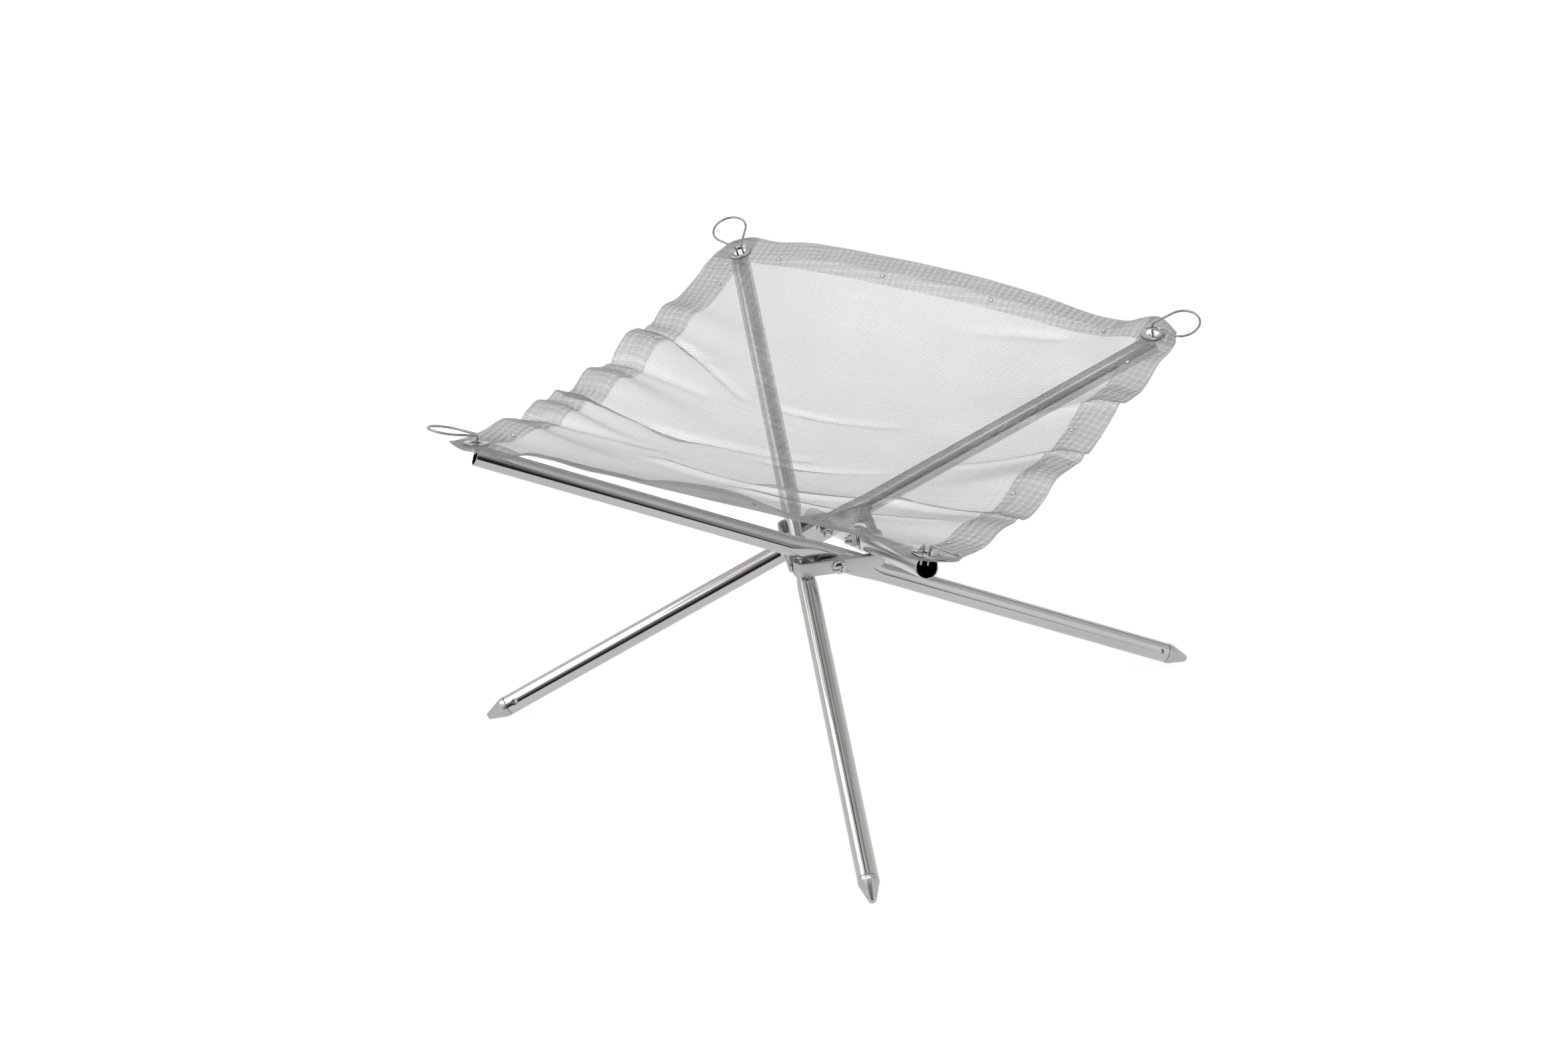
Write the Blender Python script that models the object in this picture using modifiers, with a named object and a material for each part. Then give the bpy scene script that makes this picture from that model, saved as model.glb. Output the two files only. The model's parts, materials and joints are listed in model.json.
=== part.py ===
"""Folding fire stand for a camp, in metres, +Z up.

Four tube legs cross on a pinwheel hub of bent flat bar, each on its own pivot screw. Their
feet stand on the ground, and their open upper ends carry a square of fine steel mesh by its
corner eyelets. A wire ring clip goes through each eyelet into the tube below it. The origin is
on the ground under the middle of the hub. The upper ends of the legs stand at -X (left),
-Y (front), +X (right) and +Y (back).
"""

import math

import bmesh
import bpy
from mathutils import Matrix, Vector

# Gap between pieces that touch, the distance at which points count as one, and the corners of
# the stand with the side that each faces
CLEARANCE = 0.0003
MERGE = 0.00001
CORNERS = {"left": 180.0, "front": 270.0, "right": 0.0, "back": 90.0}

# Legs: a straight tube, open at the top, with a cone cap as its foot
LEG_LENGTH = 0.609
LEG_SLOPE = math.radians(25.64)
PIVOT_FROM_MOUTH = 0.296
TUBE_DIAMETER = 0.016
TUBE_WALL = 0.0008
CROSSING_GAP = 0.0039
TUBE_OVER_BAR = 0.001

# The tube is pressed flat where its pivot screw goes through, more on the nut's side
PRESSED_LENGTH = 0.032
PRESS_RAMP = 0.026
PRESSED_TO_HEAD = 0.0062
PRESSED_TO_NUT = 0.0035
PRESSED_HEIGHT = 0.019

# Foot cap: collar, cone, blunt tip, and the spigot that plugs the tube
FOOT_COLLAR = 0.004
FOOT_CONE = 0.015
FOOT_TIP_DIAMETER = 0.0046
FOOT_TIP_ROUND = 0.0004
FOOT_SPIGOT = 0.014
SPIGOT_CHAMFER = 0.0006

# Hub: four L-shaped brackets of flat bar
BAR_HEIGHT = 0.012
BAR_THICKNESS = 0.002
BAR_END_FLAT = 0.001
BEND_RADIUS = 0.0055
WALL_PAST_PIVOT = 0.031
FLANGE_PAST_PIVOT = 0.017

# Pivot screw, its lock nut and its washers. The dome of the pan head is given in shares of the
# head's radius and of its height, from the top down
SCREW_DIAMETER = 0.006
SCREW_CHAMFER = 0.0008
SCREW_PAST_NUT = 0.0032
HEAD_DIAMETER = 0.0115
HEAD_HEIGHT = 0.0035
HEAD_DOME = ((0.0, 0.0), (0.45, 0.05), (0.80, 0.28), (1.0, 0.70))
HEAD_CROSS = 0.0058
HEAD_CROSS_WIDTH = 0.0012
HEAD_CROSS_DEPTH = 0.0016
NUT_ACROSS_FLATS = 0.010
NUT_HEX_HEIGHT = 0.0045
NUT_COLLAR_HEIGHT = 0.0015
NUT_COLLAR_DIAMETER = 0.0088
WASHER_DIAMETER = 0.016
WASHER_THICKNESS = 0.001
SPACER_DIAMETER = 0.0125

# Mesh sheet: a square with a sag between its four eyelets
SHEET_THICKNESS = 0.001
SHEET_PAST_EYELET = 0.0205
SHEET_SIDE_SAG = 0.030
SHEET_CENTRE_SAG = 0.030
SHEET_END_RISE = 0.008
SHEET_RIPPLE = 0.004
SHEET_RIPPLES = 6.5
SHEET_FLAT_REACH = 0.045
SHEET_CELLS_ACROSS = 8
SHEET_CELLS_DEEP = 36

# Eyelets and ring clips
EYELET_DIAMETER = 0.019
EYELET_BORE = 0.0104
EYELET_FLANGE = 0.0008
EYELET_BARREL = 0.0008
EYELET_ROLL = 0.0011
EYELET_EDGE = 0.0005
EYELET_MARGIN = 0.001
RIM_STEPS = 72
WIRE_DIAMETER = 0.0018
CLIP_NECK = 0.005
CLIP_WIDTH = 0.030
CLIP_REACH = 0.038
CLIP_RISE = 0.007
CLIP_PRONG = 0.007
CLIP_BEND = 0.0025

# How each clip lies over its eyelet: lifted off the sheet, and turned round the eyelet
CLIP_SWING = {"left": 8.0, "front": 3.0, "right": 4.0, "back": 8.0}
CLIP_TURN = {"left": 0.0, "front": 5.0, "right": -15.0, "back": 5.0}

STEEL = {"colour": (0.62, 0.62, 0.61), "roughness": 0.28, "metallic": 1.0}
ZINC = {"colour": (0.66, 0.66, 0.65), "roughness": 0.35, "metallic": 1.0}
MESH = {"colour": (0.50, 0.50, 0.49), "roughness": 0.45, "metallic": 1.0}

# What follows from the sizes above
TUBE_RADIUS = TUBE_DIAMETER / 2
SIN = math.sin(LEG_SLOPE)
COS = math.cos(LEG_SLOPE)
FOOT_LENGTH = FOOT_COLLAR + FOOT_CONE
FOOT_FROM_PIVOT = LEG_LENGTH - PIVOT_FROM_MOUTH
HEAD_SIDE = -1.0
NUT_SIDE = 1.0


def pivot_offset():
    """Distance from the hub's axis to each leg's axis: the crossing tubes clear each other, and
    each tube clears the bar that it crosses."""
    for_tubes = (TUBE_DIAMETER + CROSSING_GAP) * math.sqrt(1 + SIN**2) / (2 * SIN)
    half_bar = BAR_HEIGHT / 2 + TUBE_RADIUS / COS + TUBE_OVER_BAR
    for_bar = half_bar * COS / SIN - TUBE_RADIUS - CLEARANCE
    return max(for_tubes, for_bar)


PIVOT_OFFSET = pivot_offset()

# Places along a pivot screw, measured from the tube's axis toward the screw's head
SPACER_FACE = PRESSED_TO_HEAD + CLEARANCE
FLANGE_FACE = max(TUBE_RADIUS, PRESSED_TO_HEAD + 2 * CLEARANCE) + CLEARANCE
WALL_FACE = FLANGE_FACE + BAR_THICKNESS + CLEARANCE
HEAD_FACE = WALL_FACE + BAR_THICKNESS + CLEARANCE

# Places along a pivot screw, measured from the tube's axis toward its nut
WASHER_FACE = PRESSED_TO_NUT + CLEARANCE
NUT_FACE = WASHER_FACE + WASHER_THICKNESS + CLEARANCE
SCREW_END = NUT_FACE + NUT_HEX_HEIGHT + NUT_COLLAR_HEIGHT + SCREW_PAST_NUT
PIVOT_BORE = SCREW_DIAMETER / 2 + CLEARANCE

MOUTH_RUN = PIVOT_FROM_MOUTH * COS
LEG_TURN = math.atan2(PIVOT_OFFSET, MOUTH_RUN)
TUBE_BORE_RADIUS = TUBE_RADIUS - TUBE_WALL

# Eyelets: how far inside the mouth's middle, so that the clip's prongs clear the bore, the
# spacing, and the slopes of the sheet there along its hanging sides and its front and back
EYELET_HEIGHT = SHEET_THICKNESS + 2 * CLEARANCE + 2 * EYELET_FLANGE
SHEET_HOLE = EYELET_BORE / 2 + EYELET_BARREL + CLEARANCE
PRONG_REACH = math.sqrt(TUBE_BORE_RADIUS**2 - (CLIP_NECK / 2) ** 2) * SIN
EYELET_SET_IN = PRONG_REACH - WIRE_DIAMETER / 2 - CLEARANCE
EYELET_RUN = MOUTH_RUN - EYELET_SET_IN
EYELET_HALF = math.hypot(EYELET_RUN, PIVOT_OFFSET) / math.sqrt(2)
EYELET_PAD = EYELET_DIAMETER / 2 + EYELET_MARGIN
SIDE_SLOPE = -2 * SHEET_SIDE_SAG / EYELET_HALF
END_SLOPE = 2 * SHEET_END_RISE / EYELET_HALF


def foot_profile():
    """Radius and distance along the leg from the tube's end, for the foot cap's outer side."""
    tip = FOOT_TIP_DIAMETER / 2
    plug = TUBE_BORE_RADIUS - CLEARANCE
    return [
        (0.0, -FOOT_SPIGOT),
        (plug - SPIGOT_CHAMFER, -FOOT_SPIGOT),
        (plug, -FOOT_SPIGOT + 2 * SPIGOT_CHAMFER),
        (plug, CLEARANCE),
        (TUBE_RADIUS, CLEARANCE),
        (TUBE_RADIUS, FOOT_COLLAR),
        (tip + FOOT_TIP_ROUND, FOOT_LENGTH - FOOT_TIP_ROUND),
        (tip, FOOT_LENGTH),
        (0.0, FOOT_LENGTH),
    ]


def pivot_height():
    """Height of the pivots when the lowest edge of each foot cap is on the ground."""
    tube_end = FOOT_FROM_PIVOT - FOOT_LENGTH
    return max((tube_end + along) * SIN + radius * COS for radius, along in foot_profile())


PIVOT_HEIGHT = pivot_height()


def leg_direction(side):
    """Angle in plan of the leg whose upper end stands at the given side, from its top to its foot."""
    return math.radians(side) + math.pi - LEG_TURN


def pivot_point(side):
    """Middle of the tube at the leg's pivot."""
    outward = leg_direction(side) - math.pi / 2
    return Vector((PIVOT_OFFSET * math.cos(outward), PIVOT_OFFSET * math.sin(outward), PIVOT_HEIGHT))


def plan_frame(angle):
    """Unit vectors in plan: along the given angle, and to its left."""
    return Vector((math.cos(angle), math.sin(angle), 0.0)), Vector((-math.sin(angle), math.cos(angle), 0.0))


def corner_normal(side):
    """Upward normal of the sheet at an eyelet. The sheet falls away from it along the hanging
    side edge, and rises a little along the front or back edge."""
    toward_middle, leftward = plan_frame(math.radians(side) + math.pi)
    side_edge = (toward_middle + leftward) / math.sqrt(2)
    end_edge = (toward_middle - leftward) / math.sqrt(2)
    if side in (CORNERS["front"], CORNERS["back"]):
        side_edge, end_edge = end_edge, side_edge
    slope = SIDE_SLOPE * side_edge + END_SLOPE * end_edge
    return Vector((-slope.x, -slope.y, 1.0)).normalized()


def corner_frame(side):
    """Rotation of an eyelet and its clip: +Z is the sheet's normal, +X points off the corner."""
    normal = corner_normal(side)
    inward, _ = plan_frame(leg_direction(side))
    outward = (-inward + normal * inward.dot(normal)).normalized()
    return Matrix((outward, normal.cross(outward), normal)).transposed()


def eyelet_rise(side):
    """Height of the eyelet's middle above the mouth's middle, with its lower rim just clear of
    the tube below it."""
    inward, leftward = plan_frame(leg_direction(side))
    turn = corner_frame(side)
    reach = TUBE_RADIUS + CLEARANCE
    rise = 0.0
    for radius in (EYELET_BORE / 2 + EYELET_ROLL, EYELET_DIAMETER / 2):
        for step in range(RIM_STEPS):
            angle = 2 * math.pi * step / RIM_STEPS
            rim = Vector((radius * math.cos(angle), radius * math.sin(angle), -EYELET_HEIGHT / 2))
            point = turn @ rim
            inside = EYELET_SET_IN + point.dot(inward)
            across = abs(point.dot(leftward))
            if across < reach and inside > TUBE_RADIUS * SIN:
                rise = max(rise, (math.sqrt(reach**2 - across**2) - inside * SIN) / COS - point.z)
    return rise


EYELET_RISE = PIVOT_FROM_MOUTH * SIN + max(eyelet_rise(side) for side in CORNERS.values())


def eyelet_point(side):
    """Middle of the eyelet: seated on the tube's end, with the clip's prongs inside the bore."""
    inward, _ = plan_frame(leg_direction(side))
    return pivot_point(side) - EYELET_RUN * inward + Vector((0.0, 0.0, EYELET_RISE))


def clear_scene():
    for obj in list(bpy.data.objects):
        bpy.data.objects.remove(obj, do_unlink=True)


def collection(name):
    made = bpy.data.collections.new(name)
    bpy.context.scene.collection.children.link(made)
    return made


clear_scene()
PARTS = collection("folding_fire_stand")
CUTTERS = collection("cutters")


def finish_material(name, colour, roughness, metallic):
    material = bpy.data.materials.new(name)
    material.use_nodes = True
    shader = material.node_tree.nodes["Principled BSDF"]
    shader.inputs["Base Color"].default_value = (*colour, 1.0)
    shader.inputs["Roughness"].default_value = roughness
    shader.inputs["Metallic"].default_value = metallic
    return material


def axis_frame(name, point, rotation):
    """An empty that marks a pivot and carries the pieces that turn or sit there."""
    empty = bpy.data.objects.new(name, None)
    empty.empty_display_size = 0.02
    empty.location = point
    empty.rotation_euler = rotation
    PARTS.objects.link(empty)
    return empty


def place(obj, parent, offset=(0.0, 0.0, 0.0), rotation=(0.0, 0.0, 0.0)):
    obj.parent = parent
    obj.location = offset
    obj.rotation_euler = rotation
    return obj


def add_cutter(name, mesh, matrix):
    cutter = bpy.data.objects.new(name, mesh)
    cutter.matrix_world = matrix
    cutter.hide_render = True
    cutter.display_type = "WIRE"
    CUTTERS.objects.link(cutter)
    return cutter


def cylinder_mesh(name, radius, depth, sides=20):
    mesh = bpy.data.meshes.new(name)
    shape = bmesh.new()
    bmesh.ops.create_cone(
        shape, cap_ends=True, segments=sides, radius1=radius, radius2=radius, depth=depth
    )
    shape.to_mesh(mesh)
    shape.free()
    return mesh


def box_mesh(name, size):
    mesh = bpy.data.meshes.new(name)
    shape = bmesh.new()
    bmesh.ops.create_cube(shape, size=1.0)
    bmesh.ops.scale(shape, vec=size, verts=shape.verts)
    shape.to_mesh(mesh)
    shape.free()
    return mesh


def combine(obj, cutter, operation="DIFFERENCE"):
    boolean = obj.modifiers.new(cutter.name, "BOOLEAN")
    boolean.operation = operation
    boolean.solver = "EXACT"
    boolean.object = cutter


def turned(name, profile, sides=20, ring=False):
    """A piece spun round Z from its (radius, height) profile, which runs down the outer side."""
    mesh = bpy.data.meshes.new(name)
    points = [(radius, 0.0, height) for radius, height in profile]
    edges = [(i, i + 1) for i in range(len(points) - 1)]
    if ring:
        edges.append((len(points) - 1, 0))
    mesh.from_pydata(points, edges, [])
    obj = bpy.data.objects.new(name, mesh)
    PARTS.objects.link(obj)
    screw = obj.modifiers.new("Turn", "SCREW")
    screw.axis = "Z"
    screw.steps = sides
    screw.render_steps = sides
    screw.use_merge_vertices = True
    screw.merge_threshold = MERGE
    return obj


def rounded_path(points, radius, steps):
    """The points of a path whose inner corners are rounded with an arc of the given radius."""
    path = [points[0]]
    for before, corner, after in zip(points, points[1:], points[2:]):
        back = (before - corner).normalized()
        onward = (after - corner).normalized()
        half = back.angle(onward) / 2
        setback = radius / math.tan(half)
        centre = corner + (back + onward).normalized() * radius / math.sin(half)
        start = (corner + back * setback - centre).normalized()
        end = (corner + onward * setback - centre).normalized()
        path += [centre + radius * start.slerp(end, i / steps) for i in range(steps + 1)]
    path.append(points[-1])
    return path


def path_curve(name, points):
    """A curve object through the points, with straight pieces between them."""
    curve = bpy.data.curves.new(name, "CURVE")
    curve.dimensions = "3D"
    spline = curve.splines.new("POLY")
    spline.points.add(len(points) - 1)
    for target, point in zip(spline.points, points):
        target.co = (*point, 1.0)
    obj = bpy.data.objects.new(name, curve)
    PARTS.objects.link(obj)
    return obj


def evaluated_mesh(obj):
    """The mesh that the object's curve or modifiers make."""
    bpy.context.view_layer.update()
    graph = bpy.context.evaluated_depsgraph_get()
    return bpy.data.meshes.new_from_object(obj.evaluated_get(graph))


def as_mesh(curve_object):
    """Turn a curve object into a mesh object of the same name and place."""
    mesh = evaluated_mesh(curve_object)
    name = curve_object.name
    shape = bmesh.new()
    shape.from_mesh(mesh)
    bmesh.ops.remove_doubles(shape, verts=shape.verts, dist=MERGE)
    shape.to_mesh(mesh)
    shape.free()
    obj = bpy.data.objects.new(name, mesh)
    obj.matrix_world = curve_object.matrix_world
    bpy.data.objects.remove(curve_object, do_unlink=True)
    PARTS.objects.link(obj)
    obj.name = name
    return obj


def settle(obj, look, sharp_angle=35.0):
    """Keep the shape that the modifiers made, smooth its round faces and give it its finish."""
    mesh = evaluated_mesh(obj)
    obj.modifiers.clear()
    obj.data = mesh
    mesh.name = obj.name
    mesh.shade_smooth()
    mesh.set_sharp_from_angle(angle=math.radians(sharp_angle))
    mesh.materials.clear()
    mesh.materials.append(finish_material(obj.name, **look))
    return obj


def smooth_step(value):
    value = min(max(value, 0.0), 1.0)
    return value * value * (3 - 2 * value)


def mix(start, end, share):
    return start + (end - start) * share


def pressed(point):
    """Where the press moves a point of the round tube. +Y is the nut's side."""
    past_flat = (abs(point.x) - PRESSED_LENGTH / 2) / PRESS_RAMP
    press = 1.0 - smooth_step(past_flat)
    to_nut = mix(TUBE_RADIUS, PRESSED_TO_NUT, press)
    to_head = mix(TUBE_RADIUS, PRESSED_TO_HEAD, press)
    stretch = mix(1.0, PRESSED_HEIGHT / TUBE_DIAMETER, press)
    return Vector((point.x, min(max(point.y, -to_head), to_nut), point.z * stretch))


def tube_stations():
    """Distances from the pivot at which the tube's outline is set, toward the foot."""
    flat = PRESSED_LENGTH / 2
    ramp = [flat + PRESS_RAMP * step / 4 for step in range(5)]
    return [-PIVOT_FROM_MOUTH, *(-x for x in reversed(ramp)), *ramp, FOOT_FROM_PIVOT - FOOT_LENGTH]


def leg_tube(corner, frame):
    """Straight tube, pressed at the pivot, with its screw hole. +X runs toward the foot."""
    curve = path_curve(f"leg_tube_{corner}", [Vector((x, 0.0, 0.0)) for x in tube_stations()])
    curve.data.bevel_depth = TUBE_RADIUS
    curve.data.bevel_resolution = 8
    curve.data.use_fill_caps = False
    tube = as_mesh(curve)
    for vertex in tube.data.vertices:
        vertex.co = pressed(vertex.co)
    wall = tube.modifiers.new("Wall", "SOLIDIFY")
    wall.thickness = TUBE_WALL
    wall.offset = -1.0
    wall.use_even_offset = True
    drill = cylinder_mesh("pivot_drill", PIVOT_BORE, 2 * TUBE_DIAMETER)
    turn = Matrix.Rotation(math.pi / 2, 4, "X")
    combine(tube, add_cutter(f"pivot_drill_{corner}", drill, turn))
    return place(settle(tube, STEEL), frame)


def foot_cap(corner, frame):
    """Cone foot, its spigot inside the tube's lower end."""
    profile = [(radius, -along) for radius, along in foot_profile()]
    cap = settle(turned(f"foot_cap_{corner}", profile), ZINC)
    return place(cap, frame, (FOOT_FROM_PIVOT - FOOT_LENGTH, 0.0, 0.0), (0.0, -math.pi / 2, 0.0))


def hub_bracket(corner, frame):
    """L of flat bar: a wall outside its own leg, and past the bend a flange that lies inside the
    next bracket's wall and is held by that leg's screw."""
    wall = -(WALL_FACE + BAR_THICKNESS / 2)
    flange = -(PIVOT_OFFSET + FLANGE_FACE + BAR_THICKNESS / 2)
    corners = [
        Vector((WALL_PAST_PIVOT, wall, 0.0)),
        Vector((flange, wall, 0.0)),
        Vector((flange, PIVOT_OFFSET + FLANGE_PAST_PIVOT, 0.0)),
    ]
    curve = path_curve(f"hub_bracket_{corner}", rounded_path(corners, BEND_RADIUS + BAR_THICKNESS / 2, 6))
    curve.data.extrude = BAR_HEIGHT / 2
    bracket = as_mesh(curve)
    solid = bracket.modifiers.new("Bar", "SOLIDIFY")
    solid.thickness = BAR_THICKNESS
    solid.offset = 0.0
    solid.use_even_offset = True
    round_bar_ends(settle(bracket, STEEL))
    drill = cylinder_mesh("bracket_drill", PIVOT_BORE, 4 * BAR_THICKNESS)
    own = Matrix.Translation((0.0, wall, 0.0)) @ Matrix.Rotation(math.pi / 2, 4, "X")
    next_leg = Matrix.Translation((flange, PIVOT_OFFSET, 0.0)) @ Matrix.Rotation(math.pi / 2, 4, "Y")
    combine(bracket, add_cutter(f"wall_drill_{corner}", drill, own))
    combine(bracket, add_cutter(f"flange_drill_{corner}", drill, next_leg))
    return place(settle(bracket, STEEL), frame)


def round_bar_ends(bracket):
    """Round the four corners of the bar's two ends."""
    shape = bmesh.new()
    shape.from_mesh(bracket.data)
    wall_end = WALL_PAST_PIVOT - MERGE
    flange_end = PIVOT_OFFSET + FLANGE_PAST_PIVOT - MERGE
    ends = []
    for edge in shape.edges:
        first, second = (vertex.co for vertex in edge.verts)
        level = abs(first.z - second.z) < BAR_THICKNESS / 4
        at_wall_end = min(first.x, second.x) > wall_end
        at_flange_end = min(first.y, second.y) > flange_end
        if level and (at_wall_end or at_flange_end):
            ends.append(edge)
    corner = (BAR_HEIGHT - BAR_END_FLAT) / 2
    bmesh.ops.bevel(shape, geom=ends, offset=corner, segments=5, profile=0.5, affect="EDGES")
    shape.to_mesh(bracket.data)
    shape.free()


def washer(name, frame, diameter, near, far, direction):
    """Flat ring on a pivot screw, between two distances from the tube's axis."""
    outer = diameter / 2
    profile = [(PIVOT_BORE, far), (outer, far), (outer, near), (PIVOT_BORE, near)]
    ring = settle(turned(name, profile, 18, ring=True), ZINC)
    return place(ring, frame, rotation=(-direction * math.pi / 2, 0.0, 0.0))


def pivot_screw(corner, frame):
    """Pan head screw along the pivot, with a cross recess in its head."""
    shank = SCREW_DIAMETER / 2
    head = HEAD_DIAMETER / 2
    top = HEAD_FACE + HEAD_HEIGHT
    profile = [(head * across, top - HEAD_HEIGHT * down) for across, down in HEAD_DOME]
    profile += [
        (head, HEAD_FACE),
        (shank, HEAD_FACE),
        (shank, -SCREW_END + SCREW_CHAMFER),
        (shank - SCREW_CHAMFER, -SCREW_END),
        (0.0, -SCREW_END),
    ]
    screw = turned(f"pivot_screw_{corner}", profile)
    slot = (HEAD_CROSS, HEAD_CROSS_WIDTH, 2 * HEAD_CROSS_DEPTH)
    for index in range(2):
        turn = Matrix.Rotation(index * math.pi / 2, 4, "Z")
        bar = box_mesh("cross_bar", slot)
        recess = Matrix.Translation((0.0, 0.0, top)) @ turn
        combine(screw, add_cutter(f"cross_{corner}_{index + 1}", bar, recess))
    return place(settle(screw, ZINC), frame, rotation=(math.pi / 2, 0.0, 0.0))


def lock_nut(corner, frame):
    """Hexagon nut with a round locking collar, on the inner end of the pivot screw."""
    across_corners = NUT_ACROSS_FLATS / math.cos(math.pi / 6)
    hexagon = cylinder_mesh("nut_hexagon", across_corners / 2, NUT_HEX_HEIGHT, 6)
    nut = bpy.data.objects.new(f"lock_nut_{corner}", hexagon)
    PARTS.objects.link(nut)
    overlap = NUT_HEX_HEIGHT / 2
    collar = cylinder_mesh("nut_collar", NUT_COLLAR_DIAMETER / 2, NUT_COLLAR_HEIGHT + overlap)
    rise = (NUT_HEX_HEIGHT + NUT_COLLAR_HEIGHT - overlap) / 2
    combine(nut, add_cutter(f"nut_collar_{corner}", collar, Matrix.Translation((0.0, 0.0, rise))), "UNION")
    bore = cylinder_mesh("nut_bore", PIVOT_BORE, 4 * NUT_HEX_HEIGHT)
    combine(nut, add_cutter(f"nut_bore_{corner}", bore, Matrix.Identity(4)))
    middle = NUT_FACE + NUT_HEX_HEIGHT / 2
    return place(settle(nut, ZINC), frame, (0.0, middle, 0.0), (-math.pi / 2, 0.0, 0.0))


def eyelet(corner, frame):
    """Rolled eyelet that grips the sheet between its two flanges."""
    outer = EYELET_DIAMETER / 2
    throat = EYELET_BORE / 2
    barrel = throat + EYELET_BARREL
    top = EYELET_HEIGHT / 2
    grip = SHEET_THICKNESS / 2 + CLEARANCE
    upper = [
        (throat + EYELET_ROLL, top),
        (outer - EYELET_EDGE, top),
        (outer, top - EYELET_FLANGE / 2),
        (outer, grip),
        (barrel, grip),
    ]
    quarter = math.sqrt(0.5)
    roll = (throat + EYELET_ROLL * (1 - quarter), top - EYELET_ROLL * (1 - quarter))
    inner = [(throat, -top + EYELET_ROLL), (throat, top - EYELET_ROLL), roll]
    lower = [(radius, -height) for radius, height in reversed(upper)]
    profile = upper + lower + [(roll[0], -roll[1])] + inner
    return place(settle(turned(f"eyelet_{corner}", profile, 18, ring=True), ZINC), frame)


def clip_path():
    """Prong, neck, drop-shaped loop, neck and prong of a ring clip. +X points away from the
    stand, and the clip turns on the Y axis, in the middle of the eyelet."""
    neck = CLIP_NECK / 2
    loop = (CLIP_WIDTH - WIRE_DIAMETER) / 2
    centre = CLIP_REACH - WIRE_DIAMETER / 2 - loop
    to_neck = math.hypot(centre, neck)
    touch = math.pi - math.atan2(neck, centre) - math.acos(loop / to_neck)
    steps = 14
    arc = []
    for i in range(steps + 1):
        angle = mix(touch, -touch, i / steps)
        arc.append(Vector((centre + loop * math.cos(angle), loop * math.sin(angle), CLIP_RISE)))
    into = [Vector((0.0, neck, -CLIP_PRONG)), Vector((0.0, neck, CLIP_RISE)), arc[0]]
    out = [Vector((point.x, -point.y, point.z)) for point in reversed(into)]
    into = rounded_path(into, CLIP_BEND, 4)
    out = rounded_path(out, CLIP_BEND, 4)
    return into[:-1] + arc + out[1:]


def ring_clip(corner, frame):
    """Wire ring whose two prongs go through the eyelet into the tube."""
    curve = path_curve(f"ring_clip_{corner}", clip_path())
    curve.data.bevel_depth = WIRE_DIAMETER / 2
    curve.data.bevel_resolution = 2
    curve.data.use_fill_caps = True
    return place(settle(as_mesh(curve), ZINC, 60.0), frame)


def hanging(share):
    """Sag of a hanging edge at a share from -1 to 1 of the way between its two eyelets."""
    return max(1.0 - share * share, 0.0)


def sheet_height(across, deep):
    """Height of the sheet over its eyelets. Across runs left to right, deep front to back."""
    a = across / EYELET_HALF
    d = deep / EYELET_HALF
    near_end = min(abs(d), 1.0) ** 2
    rise = SHEET_END_RISE * near_end * hanging(a)
    sag = SHEET_SIDE_SAG * hanging(d) + SHEET_CENTRE_SAG * hanging(a) * hanging(d)
    wave = math.sin(math.pi * SHEET_RIPPLES * (d + 1)) * math.sqrt(hanging(d))
    ripple = SHEET_RIPPLE * wave * abs(a) ** 3
    in_from_side = EYELET_HALF - abs(across)
    in_from_end = EYELET_HALF - abs(deep)
    flat = END_SLOPE * in_from_side + SIDE_SLOPE * in_from_end
    from_eyelet = math.hypot(in_from_side, in_from_end)
    free = smooth_step((from_eyelet - EYELET_PAD * math.sqrt(2)) / SHEET_FLAT_REACH)
    return mix(flat, rise - sag + ripple, free)


def sheet_lines(cells):
    """Grid lines from edge to edge of the sheet, with one flat cell round each eyelet."""
    edge = EYELET_HALF + SHEET_PAST_EYELET
    inner = EYELET_HALF - EYELET_PAD
    middle = [mix(-inner, inner, i / cells) for i in range(cells + 1)]
    return [-edge, -EYELET_HALF - EYELET_PAD, *middle, EYELET_HALF + EYELET_PAD, edge]


def mesh_sheet():
    """Square sheet that hangs from its eyelets, with a hole for each eyelet's barrel."""
    right_eyelet = eyelet_point(CORNERS["right"])
    turn = math.atan2(right_eyelet.y, right_eyelet.x) - math.pi / 4
    across = sheet_lines(SHEET_CELLS_ACROSS)
    deep = sheet_lines(SHEET_CELLS_DEEP)
    mesh = bpy.data.meshes.new("mesh_sheet")
    shape = bmesh.new()
    columns = len(across) - 1
    rows = len(deep) - 1
    bmesh.ops.create_grid(shape, x_segments=columns, y_segments=rows, size=1.0)
    for vertex in shape.verts:
        x = across[round((vertex.co.x + 1) / 2 * columns)]
        y = deep[round((vertex.co.y + 1) / 2 * rows)]
        vertex.co = (x, y, sheet_height(x, y))
    shape.to_mesh(mesh)
    shape.free()
    sheet = bpy.data.objects.new("mesh_sheet", mesh)
    PARTS.objects.link(sheet)
    thickness = sheet.modifiers.new("Thickness", "SOLIDIFY")
    thickness.thickness = SHEET_THICKNESS
    thickness.offset = 0.0
    thickness.use_even_offset = True
    punch = cylinder_mesh("eyelet_punch", SHEET_HOLE, 10 * SHEET_THICKNESS)
    for (corner, side), (x, y) in zip(CORNERS.items(), ((-1, -1), (1, -1), (1, 1), (-1, 1))):
        hole = Matrix.Translation((x * EYELET_HALF, y * EYELET_HALF, 0.0)) @ corner_frame(side).to_4x4()
        combine(sheet, add_cutter(f"eyelet_punch_{corner}", punch, hole))
    settle(sheet, MESH, 60.0)
    sheet.location.z = right_eyelet.z
    sheet.rotation_euler.z = turn
    return sheet


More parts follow.
